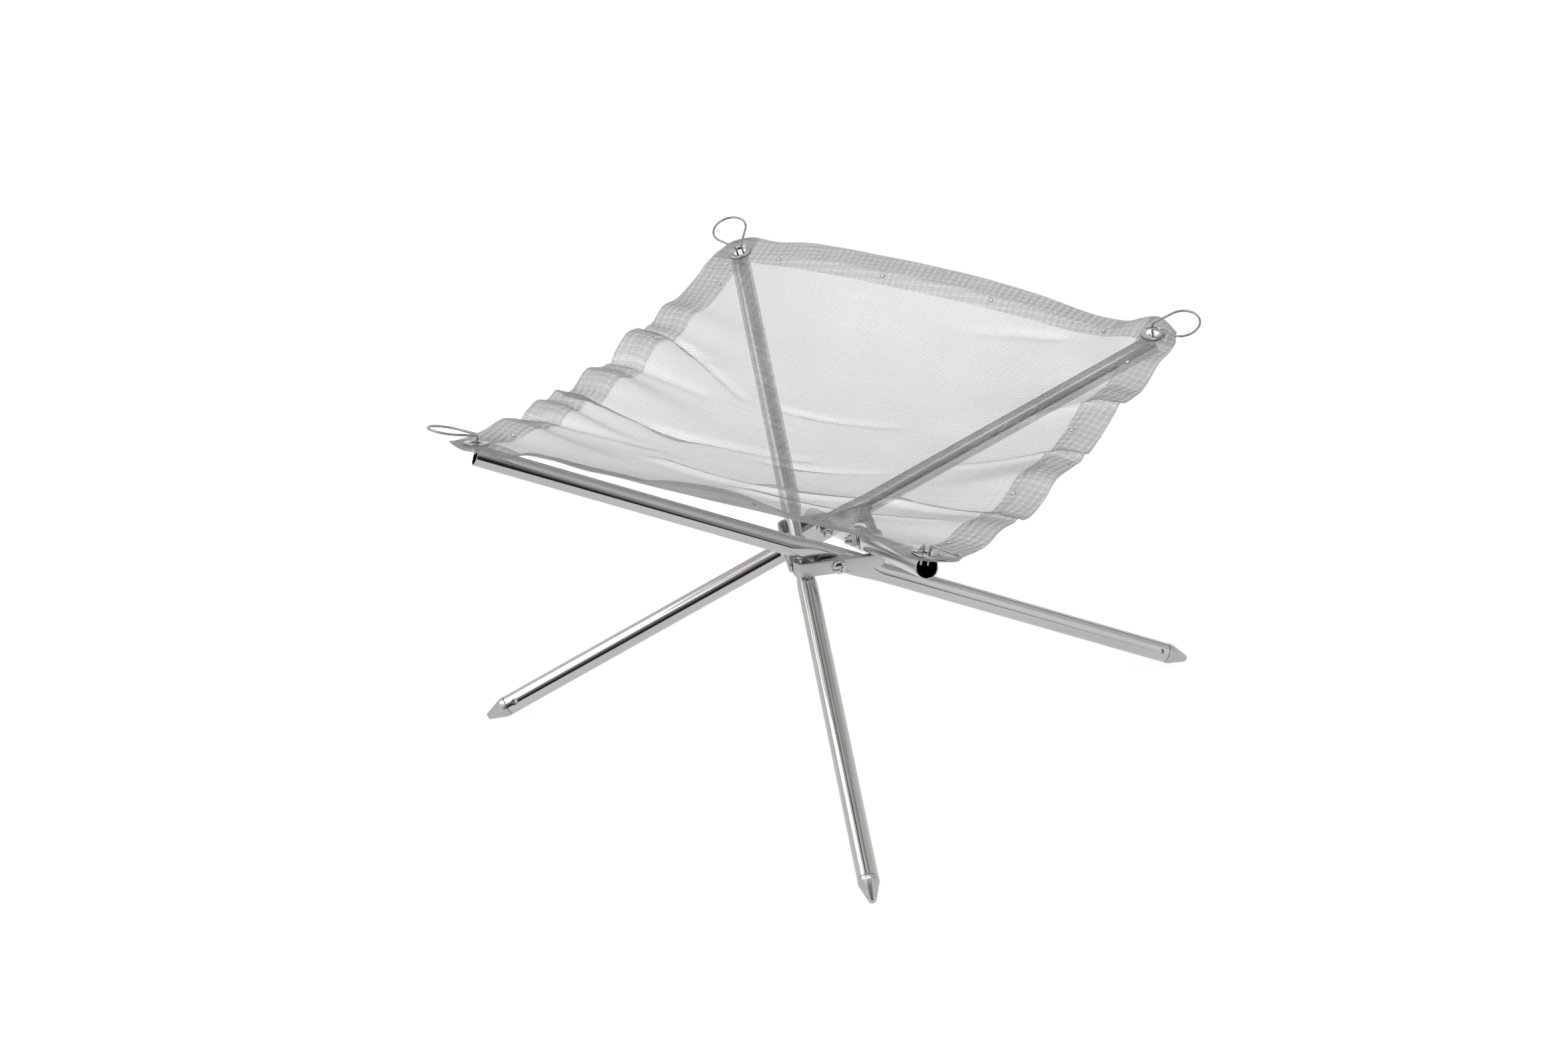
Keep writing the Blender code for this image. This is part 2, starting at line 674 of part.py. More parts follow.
def build():
    for corner, side in CORNERS.items():
        direction = leg_direction(side)
        pivot = pivot_point(side)
        station = axis_frame(f"hub_station_{corner}", pivot, (0.0, 0.0, direction))
        hub_bracket(corner, station)
        pivot_screw(corner, station)
        spacer_face = FLANGE_FACE - CLEARANCE
        washer(f"spacer_washer_{corner}", station, SPACER_DIAMETER, SPACER_FACE, spacer_face, HEAD_SIDE)
        nut_side = WASHER_FACE + WASHER_THICKNESS
        washer(f"nut_washer_{corner}", station, WASHER_DIAMETER, WASHER_FACE, nut_side, NUT_SIDE)
        lock_nut(corner, station)

        leg = axis_frame(f"leg_axis_{corner}", pivot, (0.0, LEG_SLOPE, direction))
        leg_tube(corner, leg)
        foot_cap(corner, leg)

        point = eyelet_point(side)
        turn = corner_frame(side)
        eyelet(corner, axis_frame(f"eyelet_seat_{corner}", point, turn.to_euler()))
        about = Matrix.Rotation(math.radians(CLIP_TURN[corner]), 3, "Z")
        swing = Matrix.Rotation(-math.radians(CLIP_SWING[corner]), 3, "Y")
        ring_clip(corner, axis_frame(f"clip_axis_{corner}", point, (turn @ about @ swing).to_euler()))
    mesh_sheet()


build()
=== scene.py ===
import json
import math

import bmesh
import bpy
from mathutils import Matrix, Vector, noise


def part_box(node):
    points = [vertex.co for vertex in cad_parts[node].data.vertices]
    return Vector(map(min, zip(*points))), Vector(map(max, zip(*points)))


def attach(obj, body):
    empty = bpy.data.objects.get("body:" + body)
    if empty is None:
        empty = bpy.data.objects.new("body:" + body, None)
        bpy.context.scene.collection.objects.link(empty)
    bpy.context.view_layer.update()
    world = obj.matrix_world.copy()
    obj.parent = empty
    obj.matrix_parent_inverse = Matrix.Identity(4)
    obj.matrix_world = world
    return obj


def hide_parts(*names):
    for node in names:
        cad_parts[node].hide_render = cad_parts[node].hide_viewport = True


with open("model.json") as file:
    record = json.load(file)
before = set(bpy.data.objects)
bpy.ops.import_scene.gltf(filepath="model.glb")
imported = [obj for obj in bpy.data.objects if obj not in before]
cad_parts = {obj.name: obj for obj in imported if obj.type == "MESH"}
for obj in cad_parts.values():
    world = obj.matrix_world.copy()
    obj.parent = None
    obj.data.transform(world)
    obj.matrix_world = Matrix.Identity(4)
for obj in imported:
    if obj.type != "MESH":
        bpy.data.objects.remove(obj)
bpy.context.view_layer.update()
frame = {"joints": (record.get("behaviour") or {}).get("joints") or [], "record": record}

# The view: a white floor under a pale surround. Soft darker and brighter panels of the surround,
# a narrow lamp and the floor's dark edge toward the camera draw the lines along polished tubes.
VIEW_AZIMUTH = math.radians(-12.70)
VIEW_ELEVATION = math.radians(29.73)
VIEW_ROLL = math.radians(-3.51)
VIEW_DISTANCE = 2.773
VIEW_TARGET = Vector((0.089, 0.558, -0.1644))
VIEW_LENS = 62.44
VIEW_SENSOR = 36.0
VIEW_REACH = 60.0
SURROUND_COLOUR = (0.86, 0.86, 0.865, 1.0)
CEILING_COLOUR = (0.60, 0.59, 0.58, 1.0)
ROOM_COLOUR = (0.25, 0.23, 0.215, 1.0)
DARK_COLOUR = (0.030, 0.027, 0.024, 1.0)
BACK_COLOUR = (0.10, 0.10, 0.10, 1.0)
WHITE = (1.0, 1.0, 1.0, 1.0)
LAMP_COLOUR = (2.1, 2.1, 2.1, 1.0)

# Panels: azimuth and elevation in degrees, half width and half height as sines, and colour
PANELS = (
    (180.0, 62.0, 0.95, 0.42, CEILING_COLOUR),
    (120.0, 72.0, 0.16, 0.14, ROOM_COLOUR),
    (3.0, 34.0, 0.52, 0.34, ROOM_COLOUR),
    (4.0, 7.0, 0.46, 0.29, DARK_COLOUR),
    (-100.0, 76.0, 0.13, 0.10, DARK_COLOUR),
    (180.0, 14.0, 0.40, 0.14, BACK_COLOUR),
    (138.0, 32.0, 0.06, 0.20, DARK_COLOUR),
    (-75.0, 51.0, 0.46, 0.10, LAMP_COLOUR),
    (-104.0, 37.0, 0.26, 0.20, LAMP_COLOUR),
)
PANEL_SOFT = 0.25
FLOOR_HALF = 12.0
FLOOR_COLOUR = (0.86, 0.86, 0.86, 1.0)
FLOOR_GLOW_SHARE = 0.80
FLOOR_GLOW = 1.14
FLOOR_MIRRORED = 0.84
FLOOR_EDGE = 0.85
FLOOR_EDGE_SOFT = 0.10
LAMP_ELEVATION = math.radians(71.0)
LAMP_DISTANCE = 2.0
LAMP_SIZE = (1.5, 0.30)
LAMP_POWER = 2.6


class Flow:
    """One value in a node tree. Arithmetic on it adds Math nodes."""

    def __init__(self, nodes, socket):
        self.nodes = nodes
        self.socket = socket

    def maths(self, operation, *values):
        sockets = dict(enumerate((self, *values)))
        return self.nodes.add("ShaderNodeMath", {"operation": operation}, sockets)

    def __add__(self, other):
        return self.maths("ADD", other)

    def __sub__(self, other):
        return self.maths("SUBTRACT", other)

    def __mul__(self, other):
        return self.maths("MULTIPLY", other)

    def __truediv__(self, other):
        return self.maths("DIVIDE", other)

    def __lt__(self, other):
        return self.maths("LESS_THAN", other)

    def __rsub__(self, other):
        return self.nodes.add("ShaderNodeMath", {"operation": "SUBTRACT"}, {0: other, 1: self})

    __radd__ = __add__
    __rmul__ = __mul__


class Nodes:
    """A node tree under construction: one method adds any node and fills its sockets."""

    def __init__(self, tree):
        self.tree = tree

    def add(self, kind, settings=(), sockets=(), output=0):
        made = self.tree.nodes.new(kind)
        for key, value in dict(settings).items():
            if key == "stops":
                for stop, (place, colour) in zip(made.color_ramp.elements, value):
                    stop.position, stop.color = place, colour
            else:
                setattr(made, key, value)
        for key, value in dict(sockets).items():
            self.fill(made.inputs[key], value)
        return Flow(self, made.outputs[output])

    def fill(self, socket, value):
        if isinstance(value, Flow):
            self.tree.links.new(value.socket, socket)
        else:
            socket.default_value = value

    def mix(self, share, first, second):
        """Colour between two colours."""
        return self.add("ShaderNodeMix", {"data_type": "RGBA"}, {0: share, 6: first, 7: second}, 2)

    def dot(self, first, second):
        return self.add("ShaderNodeVectorMath", {"operation": "DOT_PRODUCT"}, {0: first, 1: second}, 1)

    def grain(self, place, scale, detail, stretch=None):
        """Noise at a place, which is first stretched where three factors are given."""
        if stretch:
            place = self.add("ShaderNodeMapping", {}, {"Vector": place, "Scale": stretch})
        return self.add("ShaderNodeTexNoise", {}, {"Vector": place, "Scale": scale, "Detail": detail})

    def ramp(self, value, black_to, white_from):
        """Black up to one value and white from another on."""
        stops = ((black_to, (0, 0, 0, 1)), (white_from, (1, 1, 1, 1)))
        return self.add("ShaderNodeValToRGB", {"stops": stops}, {"Fac": value})


def linked(name, data):
    """A new object in the scene."""
    made = bpy.data.objects.new(name, data)
    bpy.context.scene.collection.objects.link(made)
    return made


def mesh_of(name, shape):
    """The finished shape as a mesh."""
    mesh = bpy.data.meshes.new(name)
    shape.to_mesh(mesh)
    shape.free()
    return mesh


def frame_at(place, x_axis, y_axis, z_axis):
    """A frame at a place, from its three axes."""
    return Matrix.Translation(place) @ Matrix((x_axis, y_axis, z_axis)).transposed().to_4x4()


def toward(azimuth, elevation):
    """Direction at an azimuth from the camera's side, turning right, and an elevation."""
    angle = VIEW_AZIMUTH + azimuth
    level = math.cos(elevation)
    return Vector((math.sin(angle) * level, -math.cos(angle) * level, math.sin(elevation)))


def place_camera():
    toward_eye = toward(0.0, VIEW_ELEVATION)
    level = Vector((math.cos(VIEW_AZIMUTH), math.sin(VIEW_AZIMUTH), 0.0))
    right = math.cos(VIEW_ROLL) * level + math.sin(VIEW_ROLL) * toward_eye.cross(level)
    camera = linked("photo_camera", bpy.data.cameras.new("photo_camera"))
    camera.data.lens = VIEW_LENS
    camera.data.sensor_width = VIEW_SENSOR
    camera.data.clip_end = VIEW_REACH
    place = VIEW_TARGET + VIEW_DISTANCE * toward_eye
    camera.matrix_world = frame_at(place, right, toward_eye.cross(right), toward_eye)
    bpy.context.scene.camera = camera


def panel(nodes, direction, azimuth, elevation, half_width, half_height):
    """1 in a soft-edged rectangle of the surround and 0 elsewhere."""
    centre = toward(math.radians(azimuth), math.radians(elevation))
    side = toward(math.radians(azimuth) + math.pi / 2, 0.0)
    amount = nodes.dot(direction, centre).maths("GREATER_THAN", 0.0)
    for axis, half in ((side, half_width), (centre.cross(side), half_height)):
        amount = amount * nodes.add(
            "ShaderNodeMapRange",
            {"interpolation_type": "SMOOTHSTEP"},
            {
                "Value": nodes.dot(direction, axis).maths("ABSOLUTE"),
                "From Min": half * (1 - PANEL_SOFT),
                "From Max": half * (1 + PANEL_SOFT),
                "To Min": 1.0,
                "To Max": 0.0,
            },
        )
    return amount


def place_surround():
    world = bpy.data.worlds.new("white_surround")
    world.use_nodes = True
    bpy.context.scene.world = world
    nodes = Nodes(world.node_tree)
    direct = nodes.add("ShaderNodeLightPath")
    direction = nodes.add("ShaderNodeTexCoord")
    light = SURROUND_COLOUR
    for azimuth, elevation, half_width, half_height, colour in PANELS:
        amount = panel(nodes, direction, azimuth, elevation, half_width, half_height)
        light = nodes.mix(amount, light, colour)
    nodes.fill(world.node_tree.nodes["Background"].inputs["Color"], nodes.mix(direct, light, WHITE))


def place_floor():
    """A white floor. It goes dark toward the camera in reflections only."""
    shape = bmesh.new()
    bmesh.ops.create_grid(shape, x_segments=1, y_segments=1, size=FLOOR_HALF)
    floor = linked("pale_floor", mesh_of("pale_floor", shape))
    material = bpy.data.materials.new("pale_floor")
    material.use_nodes = True
    nodes = Nodes(material.node_tree)
    camera = nodes.add("ShaderNodeLightPath", output="Is Camera Ray")
    glossy = nodes.add("ShaderNodeLightPath", output="Is Glossy Ray")
    through = nodes.add("ShaderNodeLightPath", output="Is Transmission Ray")
    seen = camera.maths("MAXIMUM", glossy).maths("MAXIMUM", through)
    ahead = nodes.dot(nodes.add("ShaderNodeTexCoord", output="Object"), toward(0.0, 0.0))
    beyond = (ahead - FLOOR_EDGE) / FLOOR_EDGE_SOFT
    beyond = beyond.maths("MAXIMUM", 0.0).maths("MINIMUM", 1.0) * glossy
    colour = nodes.mix(beyond, FLOOR_COLOUR, DARK_COLOUR)
    plain = nodes.add("ShaderNodeBsdfDiffuse", {}, {"Color": colour})
    strength = (camera * (FLOOR_GLOW - FLOOR_MIRRORED) + FLOOR_MIRRORED) * (1.0 - beyond)
    glow = nodes.add("ShaderNodeEmission", {}, {"Color": WHITE, "Strength": strength})
    both = nodes.add("ShaderNodeMixShader", {}, {0: seen * FLOOR_GLOW_SHARE, 1: plain, 2: glow})
    nodes.fill(material.node_tree.nodes["Material Output"].inputs["Surface"], both)
    floor.data.materials.append(material)


def place_lamp():
    lamp = linked("narrow_lamp", bpy.data.lights.new("narrow_lamp", "AREA"))
    lamp.data.shape = "RECTANGLE"
    lamp.data.size, lamp.data.size_y = LAMP_SIZE
    lamp.data.energy = LAMP_POWER
    back = toward(0.0, LAMP_ELEVATION)
    side = toward(math.pi / 2, 0.0)
    lamp.matrix_world = frame_at(LAMP_DISTANCE * back, side, back.cross(side), back)


place_camera()
place_surround()
place_floor()
place_lamp()
bpy.context.scene.view_settings.view_transform = "Standard"

# Leg tubes: 16 mm stainless tube with a 0.8 mm wall, cut square at the top, pressed flat where
# the pivot screw goes through, and dimpled over the foot cap's spigot to hold it.
CORNERS = ("left", "front", "right", "back")
TUBE_RADIUS = 0.008
TUBE_WALL = 0.0008
PIVOT_FROM_MOUTH = 0.296
TUBE_END = 0.294
PRESSED_LENGTH = 0.032
PRESS_RAMP = 0.026
PRESSED_TO_HEAD = 0.0062
PRESSED_TO_NUT = 0.0035
PRESSED_HEIGHT = 0.019
LIP_ROUND = 0.0003
DIMPLES = 3
DIMPLE_FROM_END = 0.0075
DIMPLE_RADIUS = 0.0014
DIMPLE_DEPTH = 0.0007
TUBE_SIDES = 72
PLAIN_STATIONS_ABOVE = (-0.286, -0.2, -0.1)
PLAIN_STATIONS_BELOW = (0.1, 0.18, 0.25)
PRESS_STEPS = 28
DIMPLED_LENGTH = 0.016
DIMPLED_STEPS = 32
TUBE_COLOUR = (0.64, 0.63, 0.62, 1.0)
TUBE_COLOUR_WORN = (0.54, 0.525, 0.51, 1.0)
TUBE_WORN_SHARE = 0.5
TUBE_ROUGHNESS = (0.08, 0.05, 0.06)


def joint_facts(name):
    return next(joint for joint in frame["joints"] if joint["name"] == name)


def mount_facts(name):
    return next(mount for mount in frame["record"]["mounts"] if mount["name"] == name)


def leg_frame(corner):
    """Pivot of a leg: +X runs down the leg to the foot, +Y along the screw to its nut."""
    joint = joint_facts(f"leg_fold_{corner}")
    down = Vector(mount_facts(f"foot_{corner}")["axis"]).normalized()
    along = Vector(joint["axis"]).normalized()
    return frame_at(joint["pos_m"], down, along, down.cross(along))


def station_frame(corner):
    """The same pivot with +X level and +Z up."""
    joint = joint_facts(f"leg_fold_{corner}")
    along = Vector(joint["axis"]).normalized()
    up = Vector((0.0, 0.0, 1.0))
    return frame_at(joint["pos_m"], along.cross(up), along, up)


def ease(value):
    value = min(max(value, 0.0), 1.0)
    return value * value * (3.0 - 2.0 * value)


def blend(start, end, share):
    return start + (end - start) * share


def pressed(x, y, z):
    """Where the press moves a point of the round tube."""
    press = 1.0 - ease((abs(x) - PRESSED_LENGTH / 2) / PRESS_RAMP)
    to_nut = blend(TUBE_RADIUS, PRESSED_TO_NUT, press)
    to_head = blend(TUBE_RADIUS, PRESSED_TO_HEAD, press)
    tall = blend(1.0, PRESSED_HEIGHT / (2 * TUBE_RADIUS), press)
    return x, min(max(y, -to_head), to_nut), z * tall


def dimple(x, angle):
    """How far a point of the tube's outside is pushed in by the dimples over the foot cap."""
    depth = 0.0
    for index in range(DIMPLES):
        middle = 2 * math.pi * (index + 0.25) / DIMPLES
        swing = (angle - middle + math.pi) % (2 * math.pi) - math.pi
        reach = math.hypot(x - TUBE_END + DIMPLE_FROM_END, swing * TUBE_RADIUS)
        depth += DIMPLE_DEPTH * math.exp(-((reach / DIMPLE_RADIUS) ** 2))
    return depth


def tube_stations():
    """Distances from the pivot at which the tube's skin is set, close where its form changes."""
    flat = PRESSED_LENGTH / 2 + PRESS_RAMP
    marks = [-PIVOT_FROM_MOUTH + LIP_ROUND, *PLAIN_STATIONS_ABOVE]
    marks += [flat * step / PRESS_STEPS for step in range(-PRESS_STEPS, PRESS_STEPS + 1)]
    marks += PLAIN_STATIONS_BELOW
    for step in range(DIMPLED_STEPS):
        marks.append(TUBE_END - DIMPLED_LENGTH * (1 - step / DIMPLED_STEPS))
    return [*marks, TUBE_END - LIP_ROUND]


def shade_round(mesh, sharp_degrees):
    mesh.shade_smooth()
    mesh.set_sharp_from_angle(angle=math.radians(sharp_degrees))
    return mesh


def piece_of(name, mesh, matrix, material):
    """An object at the origin, whose place is in its mesh."""
    mesh.transform(matrix)
    mesh.materials.clear()
    mesh.materials.append(material)
    return linked(name, mesh)


def points_round(shape, sides, point_at):
    """New points round a ring, each from its angle."""
    return [shape.verts.new(point_at(2 * math.pi * index / sides)) for index in range(sides)]


def skin(shape, rows, spans, girth=None):
    """Faces from each ring of points to the next. A span is where its two rings lie along the map.
    The map holds (share of the way round, length along), or with a girth both as lengths, turned."""
    layer = shape.loops.layers.uv[0]
    for number, (here, there) in enumerate(spans):
        row = rows[number]
        following = rows[(number + 1) % len(rows)]
        sides = len(row)
        for index in range(sides):
            after = (index + 1) % sides
            face = shape.faces.new((row[index], row[after], following[after], following[index]))
            corners = ((index, here), (index + 1, here), (index + 1, there), (index, there))
            for loop, (turn, along) in zip(face.loops, corners):
                loop[layer].uv = (along, turn * girth / sides) if girth else (turn / sides, along)


def tube_point(x, radius, outside, angle):
    reach = radius - (dimple(x, angle) if outside else 0.0)
    x, y, z = pressed(x, TUBE_RADIUS * math.cos(angle), TUBE_RADIUS * math.sin(angle))
    return x, y * reach / TUBE_RADIUS, z * reach / TUBE_RADIUS


def tube_mesh(name):
    """Outer skin from mouth to end, round the end's lip, and back along the bore."""
    outer = [(x, TUBE_RADIUS, True) for x in tube_stations()]
    inner = [(x, TUBE_RADIUS - TUBE_WALL, False) for x in reversed(tube_stations())]
    middle = TUBE_RADIUS - TUBE_WALL / 2
    outline = [(-PIVOT_FROM_MOUTH, middle, False), *outer, (TUBE_END, middle, False), *inner]
    shape = bmesh.new()
    shape.loops.layers.uv.new("drawn")
    rows = []
    for x, radius, outside in outline:
        rows.append(points_round(shape, TUBE_SIDES, lambda angle: tube_point(x, radius, outside, angle)))
    lengths = [station[0] for station in outline]
    skin(shape, rows, list(zip(lengths, lengths[1:] + lengths[:1])), 2 * math.pi * TUBE_RADIUS)
    bmesh.ops.recalc_face_normals(shape, faces=shape.faces)
    return shade_round(mesh_of(name, shape), 40.0)


def new_finish(name, metallic=1.0):
    """The nodes of a new material, with the material and its shader at hand."""
    material = bpy.data.materials.new(name)
    material.use_nodes = True
    nodes = Nodes(material.node_tree)
    nodes.material = material
    nodes.shader = material.node_tree.nodes["Principled BSDF"]
    nodes.shader.inputs["Metallic"].default_value = metallic
    return nodes


def coat(nodes, colour, roughness, relief=None, strength=0.0, depth=0.0):
    """Fill a finish's shader, with a bump where there is a relief, and give its material."""
    nodes.fill(nodes.shader.inputs["Base Color"], colour)
    nodes.fill(nodes.shader.inputs["Roughness"], roughness)
    if relief is not None:
        bump = nodes.add("ShaderNodeBump", {}, {"Strength": strength, "Distance": depth, "Height": relief})
        nodes.fill(nodes.shader.inputs["Normal"], bump)
    return nodes.material


def drawn_steel():
    """Bright drawn tube: long fine scratches, faint cloudy wear and a few dull patches."""
    nodes = new_finish("drawn_steel")
    place = nodes.add("ShaderNodeUVMap", {"uv_map": "drawn"})
    scratch = nodes.grain(place, 1.0, 4.0, (18.0, 2600.0, 1.0))
    wear = nodes.ramp(nodes.grain(place, 1.0, 3.0, (9.0, 60.0, 1.0)), 0.40, 0.72)
    colour = nodes.mix(wear * TUBE_WORN_SHARE, TUBE_COLOUR, TUBE_COLOUR_WORN)
    smooth, from_scratch, from_wear = TUBE_ROUGHNESS
    return coat(nodes, colour, smooth + scratch * from_scratch + wear * from_wear)


TUBE_FINISH = drawn_steel()
for corner in CORNERS:
    name = f"drawn_tube_{corner}"
    tube = piece_of(name, tube_mesh(name), leg_frame(corner), TUBE_FINISH)
    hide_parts(f"leg_tube_{corner}")
    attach(tube, f"leg_{corner}")

# Foot caps: turned steel cones with a short collar and a blunt tip, plugged into the tube's
# lower end. The lathe leaves fine rings on the cone.
FOOT_COLLAR = 0.004
FOOT_LENGTH = 0.019
FOOT_TIP_RADIUS = 0.0023
FOOT_TIP_ROUND = 0.0004
FOOT_SPIGOT = 0.014
SEAM = 0.0003
CAP_EDGE = 0.0002
SPIGOT_CHAMFER = 0.0006
CAP_COLOUR = (0.64, 0.63, 0.62, 1.0)
CAP_COLOUR_DARK = (0.42, 0.41, 0.40, 1.0)
CLOUD_SCALE = 220.0
CLOUD_SHARE = 0.7
RING_BUMP = (0.15, 0.0001)


def lathe(name, profile, sides=64, ring=False):
    """Spin a (radius, height) profile round Z into a closed mesh."""
    shape = bmesh.new()
    shape.loops.layers.uv.new("turned")
    rows = []
    for radius, height in profile:

        def on_ring(angle):
            return radius * math.cos(angle), radius * math.sin(angle), height

        rows.append(points_round(shape, sides, on_ring))
    spans = []
    run = 0.0
    for start, end in zip(profile, profile[1:] + (profile[:1] if ring else [])):
        spans.append((run, run + math.dist(start, end)))
        run = spans[-1][1]
    skin(shape, rows, spans)
    bmesh.ops.remove_doubles(shape, verts=shape.verts, dist=0.000002)
    bmesh.ops.dissolve_degenerate(shape, edges=shape.edges, dist=0.000001)
    bmesh.ops.recalc_face_normals(shape, faces=shape.faces)
    return shade_round(mesh_of(name, shape), 32.0)


def turned_steel(name, light, dark, rings=2600.0, low=0.16, spread=0.14):
    """Turned or plated part: fine rings round its axis, and soft darker clouds."""
    nodes = new_finish(name)
    groove = nodes.grain(nodes.add("ShaderNodeUVMap", {"uv_map": "turned"}), 1.0, 2.0, (3.0, rings, 1.0))
    cloud = nodes.grain(nodes.add("ShaderNodeTexCoord", output="Object"), CLOUD_SCALE, 4.0)
    colour = nodes.mix(cloud * CLOUD_SHARE, light, dark)
    return coat(nodes, colour, low + groove * spread, groove, *RING_BUMP)


def cap_profile():
    plug = TUBE_RADIUS - TUBE_WALL - SEAM
    tip = FOOT_TIP_RADIUS
    return [
        (0.0, FOOT_SPIGOT),
        (plug - SPIGOT_CHAMFER, FOOT_SPIGOT),
        (plug, FOOT_SPIGOT - 2 * SPIGOT_CHAMFER),
        (plug, -SEAM),
        (TUBE_RADIUS - CAP_EDGE, -SEAM),
        (TUBE_RADIUS, -SEAM - CAP_EDGE),
        (TUBE_RADIUS, -FOOT_COLLAR + CAP_EDGE),
        (TUBE_RADIUS - CAP_EDGE / 2, -FOOT_COLLAR - CAP_EDGE),
        (tip + FOOT_TIP_ROUND, -FOOT_LENGTH + FOOT_TIP_ROUND),
        (tip + FOOT_TIP_ROUND / 3, -FOOT_LENGTH + FOOT_TIP_ROUND / 3),
        (tip, -FOOT_LENGTH),
        (0.0, -FOOT_LENGTH),
    ]


CAP_FINISH = turned_steel("turned_cap", CAP_COLOUR, CAP_COLOUR_DARK)
down_leg = Matrix.Translation((TUBE_END, 0.0, 0.0)) @ Matrix.Rotation(-math.pi / 2, 4, "Y")
for corner in CORNERS:
    name = f"turned_cap_{corner}"
    cap = piece_of(name, lathe(name, cap_profile()), leg_frame(corner) @ down_leg, CAP_FINISH)
    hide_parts(f"foot_cap_{corner}")
    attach(cap, f"leg_{corner}")

# Hub brackets: four pieces of 12 x 2 mm flat bar, bent once with a round inner corner, with
# tumbled edges and rounded ends. Each screw holds one bracket's wall and the next one's flange.
BAR_HEIGHT = 0.012
BAR_THICKNESS = 0.002
BAR_EDGE = 0.00035
BAR_END_FLAT = 0.001
BEND_MIDDLE = 0.0065
WALL_PAST_PIVOT = 0.031
FLANGE_PAST_PIVOT = 0.017
WALL_MIDDLE = -0.0116
FLANGE_MIDDLE = 0.0093
BEND_STEPS = 14
END_STEPS = 10
EDGE_STEPS = 2
SHARP_FROM = math.radians(50.0)
NEAR = 0.0001
BAR_COLOUR = (0.64, 0.63, 0.62, 1.0)
BAR_COLOUR_WORN = (0.46, 0.44, 0.42, 1.0)
BAR_WORN_SHARE = 0.6
BAR_ROUGHNESS = (0.26, 0.14, 0.06)
BAR_BUMP = (0.12, 0.0002)


def pivot_offset():
    place = Vector(joint_facts("leg_fold_left")["pos_m"])
    return math.hypot(place.x, place.y)


def bar_line():
    """Middle line of a bracket in plan: wall, round bend, flange."""
    corner = Vector((-pivot_offset() - FLANGE_MIDDLE, WALL_MIDDLE, 0.0))
    centre = corner + Vector((BEND_MIDDLE, BEND_MIDDLE, 0.0))
    line = [Vector((WALL_PAST_PIVOT, WALL_MIDDLE, 0.0)), Vector((0.0, WALL_MIDDLE, 0.0))]
    for step in range(BEND_STEPS + 1):
        angle = -math.pi / 2 - math.pi / 2 * step / BEND_STEPS
        line.append(centre + BEND_MIDDLE * Vector((math.cos(angle), math.sin(angle), 0.0)))
    line.append(Vector((corner.x, pivot_offset(), 0.0)))
    line.append(Vector((corner.x, pivot_offset() + FLANGE_PAST_PIVOT, 0.0)))
    return line


def plain_mesh(made, *helpers):
    """The mesh that an object's modifiers make. The object and its helpers go."""
    bpy.context.view_layer.update()
    graph = bpy.context.evaluated_depsgraph_get()
    mesh = bpy.data.meshes.new_from_object(made.evaluated_get(graph))
    for used in (made, *helpers):
        bpy.data.objects.remove(used)
    return mesh


def thickened(mesh, thickness, even=False):
    """The mesh with a thickness, half on each side."""
    made = linked("thickened", mesh)
    solid = made.modifiers.new("Thickness", "SOLIDIFY")
    solid.thickness = thickness
    solid.offset = 0.0
    solid.use_even_offset = even
    return plain_mesh(made)


def bar_mesh(name):
    """A strip along the bar's middle line, thickened, with its ends and then its edges rounded."""
    curve = bpy.data.curves.new(name, "CURVE")
    curve.dimensions = "3D"
    line = bar_line()
    spline = curve.splines.new("POLY")
    spline.points.add(len(line) - 1)
    for target, point in zip(spline.points, line):
        target.co = (*point, 1.0)
    curve.extrude = BAR_HEIGHT / 2
    shape = bmesh.new()
    shape.from_mesh(thickened(plain_mesh(linked(name, curve)), BAR_THICKNESS, True))
    bmesh.ops.remove_doubles(shape, verts=shape.verts, dist=0.000002)
    ends = []
    for edge in shape.edges:
        first, second = (vertex.co for vertex in edge.verts)
        level = abs(first.z - second.z) < BAR_THICKNESS / 4
        wall_end = min(first.x, second.x) > WALL_PAST_PIVOT - NEAR
        flange_end = min(first.y, second.y) > pivot_offset() + FLANGE_PAST_PIVOT - NEAR
        if level and (wall_end or flange_end):
            ends.append(edge)
    corner = (BAR_HEIGHT - BAR_END_FLAT) / 2
    bmesh.ops.bevel(shape, geom=ends, offset=corner, segments=END_STEPS, profile=0.5, affect="EDGES")
    sharp = [edge for edge in shape.edges if edge.calc_face_angle(0.0) > SHARP_FROM]
    bmesh.ops.bevel(shape, geom=sharp, offset=BAR_EDGE, segments=EDGE_STEPS, profile=0.6, affect="EDGES")
    return shade_round(mesh_of(name, shape), 30.0)


